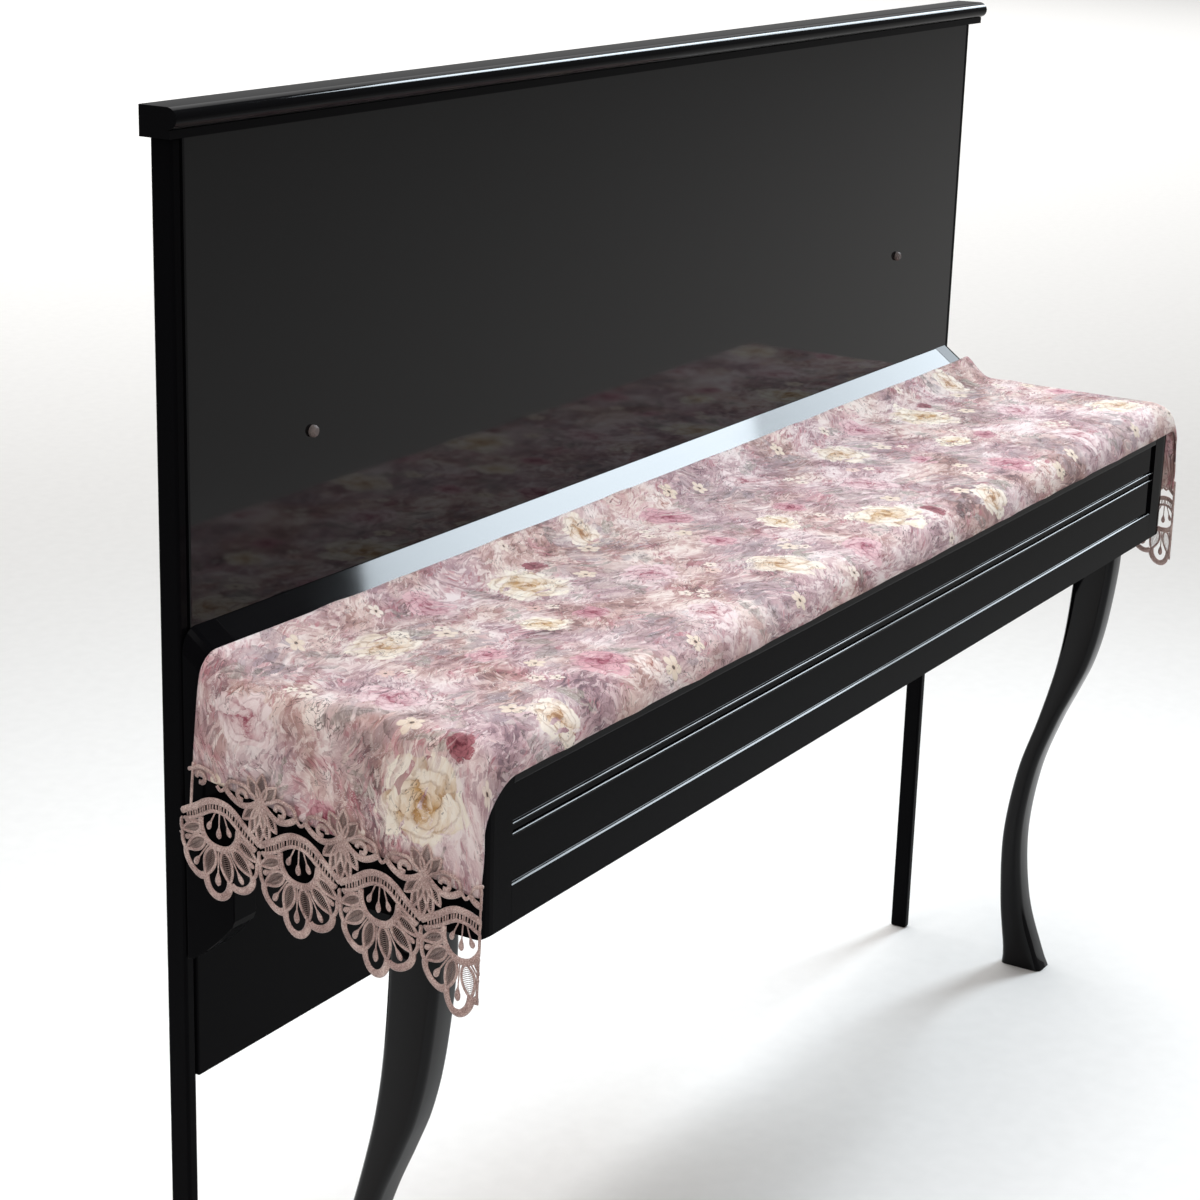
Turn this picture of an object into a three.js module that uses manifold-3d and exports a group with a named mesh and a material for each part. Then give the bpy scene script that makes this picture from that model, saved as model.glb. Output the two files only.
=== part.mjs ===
// Piano keyboard cover: a printed runner with lace ends, draped over the keyboard of a plain upright piano.
// Millimetres, +Z up, X along the keyboard, -Y towards the player, Z zero on the floor.
import * as THREE from "three";
import { mergeVertices } from "three/addons/utils/BufferGeometryUtils.js";
import Module from "manifold-3d";

const wasm = await Module();
wasm.setup();

// Keyboard case and the thin cabinet behind it
const CASE_LENGTH = 1500;
const CASE_DEPTH = 300;
const BED_UNDERSIDE = 610;
const LID_UNDERSIDE = BED_UNDERSIDE + 120;
const LID_TOP = BED_UNDERSIDE + 160;
const NOSE_RADIUS = 26;
const LID_FLAT = 210;
const BACK_SLOPE = THREE.MathUtils.degToRad(36);
const BACK_FILLET = 31.6;
const ARM_WIDTH = 42;
const ARM_ROUNDING = 16;
const FRONT_EDGE_SHARE = 0.3;
const CABINET_DEPTH = 24;
const BACK_BOARD_FOOT = 400;
const PANEL_FOOT = BED_UNDERSIDE + 197;
const PANEL_TOP = BED_UNDERSIDE + 600;
const POST_WIDTH = 12;
const POST_STEP = 2;
const LEG_WIDTH = 36;
const LEG_INSET = 2;
const GAP = 0.3;
// Middle of the footprint, behind the front of the case
const FOOTPRINT_MIDDLE = 157;

// Brackets under the back of both arms, their lower ends cut on a slant with a slight belly
const BRACKET_WIDTH = 30;
const BRACKET_FRONT = 249;
const BRACKET_HIGH = BED_UNDERSIDE - 48;
const BRACKET_LOW = BED_UNDERSIDE - 95;
const BRACKET_BELLY = 5;

// Top board of the cabinet: its overhang at the ends and the front, and its two steps
const TOP_END_OVERHANG = 12;
const TOP_FRONT_OVERHANG = 14;
const TOP_LIP = 7;
const TOP_THICKNESS = 25;
const TOP_NOSE = 8;

// Round buffers on the upper panel that stop the opened lid
const BUFFER_X = 575;
const BUFFER_HEIGHT = BED_UNDERSIDE + 334;
const BUFFER_RADIUS = 5.5;
const BUFFER_REACH = 5;

// Front of the key bed: the rail's top edge and two half-round beads
const RAIL_TOP = BED_UNDERSIDE + 36;
const PANEL_RECESS = 3;
const BEAD_HEIGHTS = [BED_UNDERSIDE + 76, BED_UNDERSIDE + 85];
const BEAD_RADIUS = 2.4;

// Cover cloth: flat width across the lid, thickness and the gap under its middle plane
const CLOTH_WIDTH = 304;
const CLOTH_THICKNESS = 2;
const CLOTH_LIFT = 1.6;
const BACK_RUN = 27;

// Lace border: repeat, plate thickness, and how far its middle plane lies outside the cloth's
const LACE_PITCH = 84;
const LACE_REPEATS = 4;
const LACE_START = -9;
const LACE_THICKNESS = 1.6;
const SEWN_GAP = 0.8;
const LACE_LIFT = CLOTH_THICKNESS / 2 + SEWN_GAP + LACE_THICKNESS / 2;
const LACE_EDGE_BAND = 4;
// Height above the lace's foot at which the cloth under it ends
const CLOTH_END = 101;
// Longest runs of its edges along the border, shorter where it turns round the front corner
const LACE_STEP = 22;
const LACE_TURN = 40;
const LACE_TURN_STEP = 9;

// Hanging ends. Rows run from the back edge to the front edge of the cloth.
// across: distance from the cloth's back edge; inset: where the bend starts, in from the case's end;
// reach: how far the bend carries the cloth out past the end; out, y, z: the foot of the lace.
const TAIL_LEFT = {
  side: -1,
  rows: [
    { across: -9, inset: 12, reach: 5, out: 4.5, y: 299, z: 590 },
    { across: 75, inset: 12, reach: 5, out: 6, y: 215.5, z: 578 },
    { across: 159, inset: 12, reach: 5, out: 9, y: 131.5, z: 567 },
    { across: 243, inset: 12, reach: 5, out: 15, y: 48, z: 558 },
    { across: 272, inset: 13, reach: 5, out: 19, y: 19.5, z: 554.5 },
    { across: 285, inset: 16, reach: 5, out: 20.5, y: 7.2, z: 552.5 },
    { across: 296, inset: 24, reach: 5, out: 18.5, y: -1.6, z: 551 },
    { across: 304, inset: 39, reach: 5, out: 13.5, y: -5.8, z: 550 },
  ],
  folds: [
    { across: 22, width: 20, rise: 3.5 },
    { across: 112, width: 26, rise: 2.5 },
    { across: 206, width: 30, rise: 4 },
  ],
};
const TAIL_RIGHT = {
  side: 1,
  rows: [
    { across: -9, inset: 10, reach: 12, out: 10, y: 297, z: 578 },
    { across: 75, inset: 10, reach: 12, out: 11, y: 214, z: 572 },
    { across: 159, inset: 10, reach: 12, out: 13, y: 130, z: 567 },
    { across: 243, inset: 10, reach: 13, out: 17, y: 46.5, z: 563 },
    { across: 272, inset: 9, reach: 16, out: 20, y: 18, z: 561.5 },
    { across: 285, inset: 7, reach: 19, out: 20.5, y: 5.4, z: 561 },
    { across: 296, inset: 4, reach: 21, out: 18.5, y: -3.4, z: 560 },
    { across: 304, inset: 2, reach: 20, out: 14, y: -8, z: 559 },
  ],
  folds: [
    { across: 40, width: 22, rise: 3 },
    { across: 140, width: 30, rise: 3.5 },
    { across: 228, width: 26, rise: 2 },
  ],
};

// Front legs, from the floor up. height: above the floor; y: centre; depth: front to back.
const LEG_ROWS = [
  { height: 0, y: 123, depth: 56 },
  { height: 22, y: 128, depth: 46 },
  { height: 90, y: 144, depth: 32 },
  { height: 180, y: 150, depth: 26 },
  { height: 270, y: 138, depth: 24 },
  { height: 340, y: 116.5, depth: 25.5 },
  { height: 391, y: 98.8, depth: 33.5 },
  { height: 430, y: 86.8, depth: 40.5 },
  { height: 480, y: 77.3, depth: 45.5 },
  { height: 554, y: 69.9, depth: 49.5 },
  { height: BED_UNDERSIDE - GAP, y: 68.5, depth: 50 },
];

// Lace drawing. a: from the middle of a scallop; b: above the foot of the lace.
// A corner with a rise bows the side after it outwards in so many steps.
// Lower edge from the bottom loop's end up to the node beside the scallop
const FAN_EDGE = [
  { a: 14, b: 16.5, rise: 7, steps: 5 },
  { a: 36, b: 33.5, rise: 3.2, steps: 2 },
  { a: 39.3, b: 46.5, rise: 2, steps: 2 },
  { a: 41.2, b: 58 },
];
const BOTTOM_LOOP = { a: -14, b: 16.5, rise: 16.5, steps: 8 };
// Upper edge from the leaf tip over the valley to the middle of the scallop
const TOP_EDGE = [
  { a: -42, b: 128 },
  { a: -37, b: 117 },
  { a: -26.5, b: 121 },
  { a: -31, b: 110 },
  { a: -20, b: 107.5, rise: -1.5, steps: 2 },
  { a: -8, b: 107.5 },
  { a: 0, b: 104 },
];
// Back end, trimmed to the cloth's back edge above the first node
const BACK_EDGE = [
  { a: 0, b: 113 },
  { a: 0, b: 74 },
  { a: -7.5, b: 67 },
];
// Gaps over 4 mm
const BOTTOM_GAP = [
  { a: -9, b: 18, rise: 12.5, steps: 6 },
  { a: 9, b: 18 },
  { a: 4.5, b: 25 },
  { a: 2.3, b: 19 },
  { a: 0, b: 15.5 },
  { a: -2.3, b: 19 },
  { a: -4.5, b: 25 },
];
const SIDE_GAP = [
  { a: 17.6, b: 21.5, rise: 6, steps: 5 },
  { a: 32, b: 33 },
  { a: 26.5, b: 37 },
  { a: 25.2, b: 31.5 },
  { a: 22.6, b: 28.4 },
  { a: 20.6, b: 31.5 },
  { a: 16.6, b: 29 },
];
const EYE_GAP = [
  { a: -13.5, b: 66, rise: 15, steps: 7 },
  { a: 13.5, b: 66 },
  { a: 8.6, b: 71.5 },
  { a: 7.6, b: 64.5 },
  { a: 5.2, b: 62.5 },
  { a: 3.3, b: 67 },
  { a: 1.7, b: 60 },
  { a: 0, b: 57.5 },
  { a: -1.7, b: 60 },
  { a: -3.3, b: 67 },
  { a: -5.2, b: 62.5 },
  { a: -7.6, b: 64.5 },
  { a: -8.6, b: 71.5 },
];
const LEAF_GAP = [
  { a: 39, b: 72.5 },
  { a: 38.2, b: 84 },
  { a: 38.8, b: 92 },
  { a: 33, b: 86 },
  { a: 27.5, b: 79.5 },
  { a: 33, b: 73 },
];
const WING_GAP = [
  { a: 33.5, b: 94 },
  { a: 27, b: 88 },
  { a: 22.5, b: 83.5 },
  { a: 18, b: 87 },
  { a: 22, b: 92 },
  { a: 29, b: 95.5 },
];
const CROWN_GAP = [
  { a: -6, b: 92.5 },
  { a: 0, b: 91 },
  { a: 6, b: 92.5 },
  { a: 0, b: 98 },
];
const SMALL_LOOP_GAP = { a: 35.8, b: 40.5, halfWidth: 2.6, halfHeight: 4 };
const NODE_LOOP_GAP = { a: 36.8, b: 52.5, halfWidth: 2.4, halfHeight: 3.6 };
const SCROLL_GAP = { a: 22, b: 100.5, halfWidth: 3.2, halfHeight: 3 };

const HALF = CASE_LENGTH / 2;
const QUARTER = Math.PI / 2;
const NOSE_CENTRE = { y: NOSE_RADIUS, z: LID_TOP - NOSE_RADIUS };
const FILLET_CENTRE = { y: NOSE_RADIUS + LID_FLAT, z: LID_TOP + BACK_FILLET };

const BLACK_GLOSS = { color: 0x0b0b0d, roughness: 0.12, metalness: 0 };
const BLACK_RUBBER = { color: 0x18181a, roughness: 0.6, metalness: 0 };
const PRINTED_CLOTH = { color: 0xb99fa2, roughness: 0.75, metalness: 0 };
const TAUPE_LACE = { color: 0x927d78, roughness: 0.7, metalness: 0 };

// Smooth column of a table of rows, through every row: by names the column that is walked along
function column(rows, by, key, at) {
  const last = rows.length - 1;
  let k = 0;
  while (k < last - 1 && at > rows[k + 1][by]) k += 1;
  const slope = (i) => {
    const before = rows[Math.max(0, i - 1)];
    const after = rows[Math.min(last, i + 1)];
    return (after[key] - before[key]) / (after[by] - before[by]);
  };
  const span = rows[k + 1][by] - rows[k][by];
  const t = THREE.MathUtils.clamp((at - rows[k][by]) / span, 0, 1);
  const rest = 1 - t;
  return rest * rest * (1 + 2 * t) * rows[k][key] + t * t * (3 - 2 * t) * rows[k + 1][key]
    + rest * rest * t * span * slope(k) - t * t * rest * span * slope(k + 1);
}

function spread(from, to, steps) {
  return Array.from({ length: steps + 1 }, (_, k) => from + ((to - from) * k) / steps);
}

// Closed geometry from points and triangles, turned so that its faces point out
function closedGeometry(points, triangles) {
  const normal = new THREE.Vector3();
  let volume = 0;
  for (const [a, b, c] of triangles) {
    volume += normal.crossVectors(points[b], points[c]).dot(points[a]);
  }
  const index = triangles.flatMap(([a, b, c]) => (volume < 0 ? [a, c, b] : [a, b, c]));
  const geometry = new THREE.BufferGeometry().setFromPoints(points);
  geometry.setIndex(index);
  geometry.computeVertexNormals();
  return geometry;
}

// Closed body through a run of like loops, capped by the flat outline of its loops
function skin(loops, flatOutline) {
  const size = loops[0].length;
  const end = (loops.length - 1) * size;
  const triangles = [];
  for (let first = 0; first < end; first += size) {
    for (let i = 0; i < size; i += 1) {
      const a = first + i;
      const b = first + ((i + 1) % size);
      triangles.push([a, b, b + size], [a, b + size, a + size]);
    }
  }
  const wound = THREE.ShapeUtils.area(flatOutline);
  for (const face of THREE.ShapeUtils.triangulateShape(flatOutline, [])) {
    const sameWay = THREE.ShapeUtils.area(face.map((i) => flatOutline[i])) * wound > 0;
    const [a, b, c] = sameWay ? face : face.toReversed();
    triangles.push([a, c, b], [a + end, b + end, c + end]);
  }
  return closedGeometry(loops.flat(), triangles);
}

// Section of the case's top in the Y-Z plane, drawn in by inset at the top and a little at the front
function caseSection(underside, inset) {
  const ARC_STEPS = 6;
  const FILLET_STEPS = 4;
  const front = inset * FRONT_EDGE_SHARE;
  const nose = spread(0, QUARTER, ARC_STEPS).map((turn) => new THREE.Vector2(
    NOSE_CENTRE.y - (NOSE_RADIUS - front) * Math.cos(turn),
    NOSE_CENTRE.z + (NOSE_RADIUS - inset) * Math.sin(turn),
  ));
  const radius = BACK_FILLET + inset;
  const fillet = spread(0, BACK_SLOPE, FILLET_STEPS).map((turn) => new THREE.Vector2(
    FILLET_CENTRE.y + radius * Math.sin(turn),
    FILLET_CENTRE.z - radius * Math.cos(turn),
  ));
  const slopeFoot = fillet[FILLET_STEPS];
  const backTop = slopeFoot.y + (CASE_DEPTH - slopeFoot.x) * Math.tan(BACK_SLOPE);
  return [
    new THREE.Vector2(front, underside),
    ...nose,
    ...fillet,
    new THREE.Vector2(CASE_DEPTH, backTop),
    new THREE.Vector2(CASE_DEPTH, underside),
  ];
}

const acrossAt = (x) => (section) => section.map((point) => new THREE.Vector3(x, point.x, point.y));

function keyLid() {
  const half = HALF - ARM_WIDTH - GAP;
  const section = caseSection(LID_UNDERSIDE, 0);
  return skin([acrossAt(-half)(section), acrossAt(half)(section)], section);
}

function keyArm(side) {
  const ROUNDING_STEPS = 5;
  const rounded = spread(0, QUARTER, ROUNDING_STEPS).map((turn) => ({
    x: HALF - ARM_ROUNDING * (1 - Math.sin(turn)),
    inset: ARM_ROUNDING * (1 - Math.cos(turn)),
  }));
  const stations = [{ x: HALF - ARM_WIDTH, inset: 0 }, ...rounded];
  const loops = stations.map(({ x, inset }) => acrossAt(side * x)(caseSection(BED_UNDERSIDE, inset)));
  return skin(loops, caseSection(BED_UNDERSIDE, 0));
}

function keyBed() {
  const BEAD_STEPS = 4;
  const half = HALF - ARM_WIDTH - GAP;
  const beads = BEAD_HEIGHTS.flatMap((height) => spread(-QUARTER, QUARTER, BEAD_STEPS).map((turn) => (
    new THREE.Vector2(PANEL_RECESS - BEAD_RADIUS * Math.cos(turn), height + BEAD_RADIUS * Math.sin(turn))
  )));
  const section = [
    new THREE.Vector2(0, BED_UNDERSIDE),
    new THREE.Vector2(0, RAIL_TOP - PANEL_RECESS),
    new THREE.Vector2(PANEL_RECESS, RAIL_TOP),
    ...beads,
    new THREE.Vector2(PANEL_RECESS, LID_UNDERSIDE - GAP),
    new THREE.Vector2(CASE_DEPTH, LID_UNDERSIDE - GAP),
    new THREE.Vector2(CASE_DEPTH, BED_UNDERSIDE),
  ];
  return skin([acrossAt(-half)(section), acrossAt(half)(section)], section);
}

function frontLeg(side) {
  const LEG_STEPS = 20;
  const CORNER = 7;
  const middle = side * (HALF - LEG_INSET - LEG_WIDTH / 2);
  const ring = (depth) => {
    const w = LEG_WIDTH / 2;
    const d = depth / 2;
    return [
      [-w, -d + CORNER], [-w + CORNER, -d], [w - CORNER, -d], [w, -d + CORNER],
      [w, d - CORNER], [w - CORNER, d], [-w + CORNER, d], [-w, d - CORNER],
    ].map(([x, y]) => new THREE.Vector2(x, y));
  };
  const top = LEG_ROWS[LEG_ROWS.length - 1].height;
  const loops = spread(0, top, LEG_STEPS).map((height) => {
    const y = column(LEG_ROWS, "height", "y", height);
    return ring(column(LEG_ROWS, "height", "depth", height)).map((point) => (
      new THREE.Vector3(middle + point.x, y + point.y, height)
    ));
  });
  return skin(loops, ring(LEG_ROWS[0].depth));
}

function board(low, high) {
  const size = high.clone().sub(low);
  const middle = low.clone().add(high).multiplyScalar(0.5);
  return new THREE.BoxGeometry(size.x, size.y, size.z).translate(middle.x, middle.y, middle.z);
}

function cornerBracket(side) {
  const BELLY_STEPS = 5;
  const top = BED_UNDERSIDE - GAP;
  const section = outline([
    { a: CASE_DEPTH, b: top },
    { a: BRACKET_FRONT, b: top },
    { a: BRACKET_FRONT, b: BRACKET_HIGH, rise: BRACKET_BELLY, steps: BELLY_STEPS },
    { a: CASE_DEPTH, b: BRACKET_LOW },
  ]).map(({ a, b }) => new THREE.Vector2(a, b));
  const [inner, outer] = [HALF - BRACKET_WIDTH, HALF];
  return skin([acrossAt(side * inner)(section), acrossAt(side * outer)(section)], section);
}

// Boards of the cabinet behind the keyboard, between the two posts
function cabinetBoard(foot, top) {
  const half = HALF - POST_WIDTH - GAP;
  return board(
    new THREE.Vector3(-half, CASE_DEPTH + GAP, foot),
    new THREE.Vector3(half, CASE_DEPTH + CABINET_DEPTH, top),
  );
}

function cabinetPost(side) {
  const inner = side * (HALF - POST_WIDTH);
  const outer = side * HALF;
  return board(
    new THREE.Vector3(Math.min(inner, outer), CASE_DEPTH + GAP + POST_STEP, 0),
    new THREE.Vector3(Math.max(inner, outer), CASE_DEPTH + CABINET_DEPTH, PANEL_TOP),
  );
}

// Top board: a narrow lip under a wider board with a rounded front
function topBoard() {
  const NOSE_STEPS = 5;
  const half = HALF + TOP_END_OVERHANG;
  const foot = PANEL_TOP + GAP;
  const front = CASE_DEPTH - TOP_FRONT_OVERHANG;
  const back = CASE_DEPTH + CABINET_DEPTH;
  const noseBottom = foot + TOP_LIP;
  const noseTop = foot + TOP_THICKNESS - TOP_NOSE;
  const nose = spread(0, QUARTER, NOSE_STEPS).map((turn) => new THREE.Vector2(
    front + TOP_NOSE * (1 - Math.cos(turn)),
    noseTop + TOP_NOSE * Math.sin(turn),
  ));
  const section = [
    new THREE.Vector2(front + TOP_LIP, foot),
    new THREE.Vector2(front + TOP_LIP, noseBottom),
    new THREE.Vector2(front, noseBottom),
    ...nose,
    new THREE.Vector2(back, foot + TOP_THICKNESS),
    new THREE.Vector2(back, foot),
  ];
  return skin([acrossAt(-half)(section), acrossAt(half)(section)], section);
}

// Domed buffer, standing out of the upper panel towards the player
function lidBuffer(side) {
  const SIDES = 16;
  const rim = BUFFER_REACH / 2;
  const profile = [
    new THREE.Vector2(0, 0),
    new THREE.Vector2(BUFFER_RADIUS, 0),
    new THREE.Vector2(BUFFER_RADIUS, rim),
    new THREE.Vector2(BUFFER_RADIUS - rim / 3, rim + rim / 2),
    new THREE.Vector2(BUFFER_RADIUS - rim, BUFFER_REACH),
    new THREE.Vector2(0, BUFFER_REACH),
  ];
  const geometry = new THREE.LatheGeometry(profile, SIDES);
  geometry.rotateX(Math.PI);
  return geometry.translate(side * BUFFER_X, CASE_DEPTH, BUFFER_HEIGHT);
}

// Cloth's middle plane over the lid, by the distance from its back edge
const CLOTH_NOSE = NOSE_RADIUS + CLOTH_LIFT;
const CLOTH_FILLET = BACK_FILLET - CLOTH_LIFT;
const FILLET_END = BACK_RUN + CLOTH_FILLET * BACK_SLOPE;
const FLAT_END = FILLET_END + LID_FLAT;
const NOSE_END = FLAT_END + CLOTH_NOSE * QUARTER;

function overLid(across) {
  if (across < FILLET_END) {
    const turn = Math.min(BACK_SLOPE, BACK_SLOPE - (across - BACK_RUN) / CLOTH_FILLET);
    const run = Math.max(0, BACK_RUN - across);
    return {
      y: FILLET_CENTRE.y + CLOTH_FILLET * Math.sin(turn) + run * Math.cos(BACK_SLOPE),
      z: FILLET_CENTRE.z - CLOTH_FILLET * Math.cos(turn) + run * Math.sin(BACK_SLOPE),
    };
  }
  if (across < FLAT_END) {
    return { y: FILLET_CENTRE.y - (across - FILLET_END), z: LID_TOP + CLOTH_LIFT };
  }
  const turn = Math.min(QUARTER, (across - FLAT_END) / CLOTH_NOSE);
  const drop = Math.max(0, across - NOSE_END);
  return {
    y: NOSE_CENTRE.y - CLOTH_NOSE * Math.sin(turn),
    z: NOSE_CENTRE.z + CLOTH_NOSE * Math.cos(turn) - drop,
  };
}

// One lengthwise thread of a hanging end: its bend over the case's end and its fall to the foot
function thread(tail, across) {
  const read = (key) => column(tail.rows, "across", key, across);
  const start = overLid(across);
  const inset = read("inset");
  const radius = inset + read("reach");
  const top = { out: read("reach"), y: start.y, z: start.z - radius };
  const foot = { out: read("out"), y: read("y"), z: read("z") };
  const length = Math.hypot(foot.out - top.out, foot.y - top.y, foot.z - top.z);
  return { start, inset, radius, top, foot, length };
}

function bendPoint(tail, across, turn) {
  const { start, inset, radius } = thread(tail, across);
  const x = HALF - inset + radius * Math.sin(turn);
  const z = start.z - radius * (1 - Math.cos(turn));
  return new THREE.Vector3(tail.side * x, start.y, z);
}

// The fall leans out evenly and swings back early, and its soft folds grow towards the foot
function fallPoint(tail, across, fall) {
  const { top, foot } = thread(tail, across);
  const swing = 1 - (1 - fall) ** 2;
  const folds = tail.folds.reduce((sum, fold) => (
    sum + fold.rise * fall * Math.exp(-(((across - fold.across) / fold.width) ** 2))
  ), 0);
  return new THREE.Vector3(
    tail.side * (HALF + folds + THREE.MathUtils.lerp(top.out, foot.out, fall)),
    THREE.MathUtils.lerp(top.y, foot.y, swing),
    THREE.MathUtils.lerp(top.z, foot.z, fall),
  );
}

// Sheet of even thickness on a grid of points
function thickSheet(grid, thickness) {
  const rows = grid.length;
  const columns = grid[0].length;
  const rowAt = (i) => grid[THREE.MathUtils.clamp(i, 0, rows - 1)];
  const at = (i, j) => rowAt(i)[THREE.MathUtils.clamp(j, 0, columns - 1)];
  const layer = (offset) => grid.flatMap((row, i) => row.map((point, j) => {
    const along = at(i + 1, j).clone().sub(at(i - 1, j));
    const across = at(i, j + 1).clone().sub(at(i, j - 1));
    return point.clone().addScaledVector(along.cross(across).normalize(), offset);
  }));
  const under = rows * columns;
  const triangles = [];
  for (let i = 0; i < rows - 1; i += 1) {
    for (let j = 0; j < columns - 1; j += 1) {
      const a = i * columns + j;
      const b = a + columns;
      triangles.push([a, b, b + 1], [a, b + 1, a + 1]);
      triangles.push([under + a, under + b + 1, under + b], [under + a, under + a + 1, under + b + 1]);
    }
  }
  const steps = (from, step, count) => Array.from({ length: count }, (_, k) => from + step * k);
  const rim = [
    ...steps(0, 1, columns - 1),
    ...steps(columns - 1, columns, rows - 1),
    ...steps(under - 1, -1, columns - 1),
    ...steps(under - columns, -columns, rows - 1),
  ];
  rim.forEach((a, k) => {
    const b = rim[(k + 1) % rim.length];
    triangles.push([a, b, under + b], [a, under + b, under + a]);
  });
  return closedGeometry([...layer(thickness / 2), ...layer(-thickness / 2)], triangles);
}

// Printed cloth: its run over the lid, and the bend and fall of both ends down to the lace
function coverCloth() {
  const BEND_STEPS = 6;
  const FALL_STEPS = 4;
  const LID_STEPS = 10;
  const SLOPE_STEPS = 2;
  const FLAT_STEPS = 18;
  const NOSE_STEPS = 7;
  const across = [
    ...spread(0, BACK_RUN, SLOPE_STEPS),
    ...spread(BACK_RUN, FILLET_END, SLOPE_STEPS).slice(1),
    ...spread(FILLET_END, FLAT_END, FLAT_STEPS).slice(1),
    ...spread(FLAT_END, CLOTH_WIDTH, NOSE_STEPS).slice(1),
  ];
  const hangingEnd = (tail) => [
    ...spread(0, QUARTER, BEND_STEPS).map((turn) => across.map((v) => bendPoint(tail, v, turn))),
    ...spread(0, 1, FALL_STEPS).slice(1).map((part) => across.map((v) => (
      fallPoint(tail, v, part * (1 - CLOTH_END / thread(tail, v).length))
    ))),
  ];
  const left = hangingEnd(TAIL_LEFT);
  const right = hangingEnd(TAIL_RIGHT);
  const lid = spread(0, 1, LID_STEPS).slice(1, -1).map((part) => (
    left[0].map((point, j) => point.clone().lerp(right[0][j], part))
  ));
  return thickSheet([...left.reverse(), ...lid, ...right], CLOTH_THICKNESS);
}

// Points of a rounded arc between two points, bowed by rise to the right of its way; its end is left out
function bow(from, to) {
  const { rise = 0, steps = 1 } = from;
  const chord = Math.hypot(to.a - from.a, to.b - from.b);
  const right = { a: (to.b - from.b) / chord, b: -(to.a - from.a) / chord };
  return spread(0, Math.PI, steps).slice(0, -1).map((turn) => {
    const part = (1 - Math.cos(turn)) / 2;
    const bulge = rise * Math.sin(turn);
    return {
      a: THREE.MathUtils.lerp(from.a, to.a, part) + right.a * bulge,
      b: THREE.MathUtils.lerp(from.b, to.b, part) + right.b * bulge,
    };
  });
}

// Line through corners, and closed outline of them; a corner's rise and steps bow the side after it
const line = (corners) => [
  ...corners.slice(0, -1).flatMap((corner, k) => bow(corner, corners[k + 1])),
  corners[corners.length - 1],
];
const outline = (corners) => corners.flatMap((corner, k) => bow(corner, corners[(k + 1) % corners.length]));
const mirrored = (points) => points.map(({ a, b }) => ({ a: -a, b })).reverse();
const moved = (points, by) => points.map(({ a, b }) => ({ a: a + by, b }));

function oval({ a, b, halfWidth, halfHeight }) {
  const OVAL_SIDES = 7;
  return spread(0, 2 * Math.PI, OVAL_SIDES).slice(1).map((turn) => (
    { a: a + halfWidth * Math.cos(turn), b: b + halfHeight * Math.sin(turn) }
  ));
}

// Gaps of one repeat; the first repeat has no leaf spray on its outer side
function repeatGaps(isFirst) {
  const loops = [outline(SIDE_GAP), oval(SMALL_LOOP_GAP), oval(NODE_LOOP_GAP), oval(SCROLL_GAP)];
  const valley = [outline(LEAF_GAP), outline(WING_GAP)];
  const middle = [outline(BOTTOM_GAP), outline(EYE_GAP), outline(CROWN_GAP)];
  const outer = isFirst ? loops : [...loops, ...valley];
  return [...middle, ...loops, ...valley, ...outer.map(mirrored)];
}

function plate(points, thickness) {
  const shape = new THREE.Shape(points.map(({ a, b }) => new THREE.Vector2(a, b)));
  const geometry = new THREE.ExtrudeGeometry(shape, { depth: thickness, bevelEnabled: false });
  return geometry.translate(0, 0, -thickness / 2);
}

function solidOf(geometry) {
  geometry.deleteAttribute("normal");
  geometry.deleteAttribute("uv");
  const merged = mergeVertices(geometry, 1e-4);
  return new wasm.Manifold(new wasm.Mesh({
    numProp: 3,
    vertProperties: new Float32Array(merged.attributes.position.array),
    triVerts: new Uint32Array(merged.index.array),
  }));
}

// Flat lace border: every repeat in one plate, cut off at the cloth's front edge inside a narrow band
function flatLace() {
  const middles = spread(0.5, LACE_REPEATS - 0.5, LACE_REPEATS - 1).map((k) => LACE_START + LACE_PITCH * k);
  const fan = line(FAN_EDGE);
  const scallop = [...mirrored(fan), ...bow(BOTTOM_LOOP, FAN_EDGE[0]).slice(1), ...fan];
  const crest = line(TOP_EDGE);
  const upper = [...crest, ...mirrored(crest).slice(1, -1)];
  const bottom = middles.flatMap((middle) => moved(scallop, middle));
  const top = middles.flatMap((middle) => moved(upper, middle)).filter(({ a }) => a > 0);
  const strip = (to) => solidOf(plate([
    { a: LACE_START - LACE_PITCH, b: -LACE_PITCH },
    { a: to, b: -LACE_PITCH },
    { a: to, b: 2 * LACE_PITCH },
    { a: LACE_START - LACE_PITCH, b: 2 * LACE_PITCH },
  ], 3 * LACE_THICKNESS));
  const inside = strip(CLOTH_WIDTH - LACE_EDGE_BAND);
  let lace = solidOf(plate([...bottom, ...top.reverse(), ...BACK_EDGE], LACE_THICKNESS));
  lace = lace.intersect(strip(CLOTH_WIDTH));
  middles.forEach((middle, k) => {
    for (const gap of repeatGaps(k === 0)) {
      const punch = solidOf(plate(moved(gap, middle), 2 * LACE_THICKNESS));
      lace = lace.subtract(punch.intersect(inside));
    }
  });
  return lace.getMesh();
}

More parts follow.
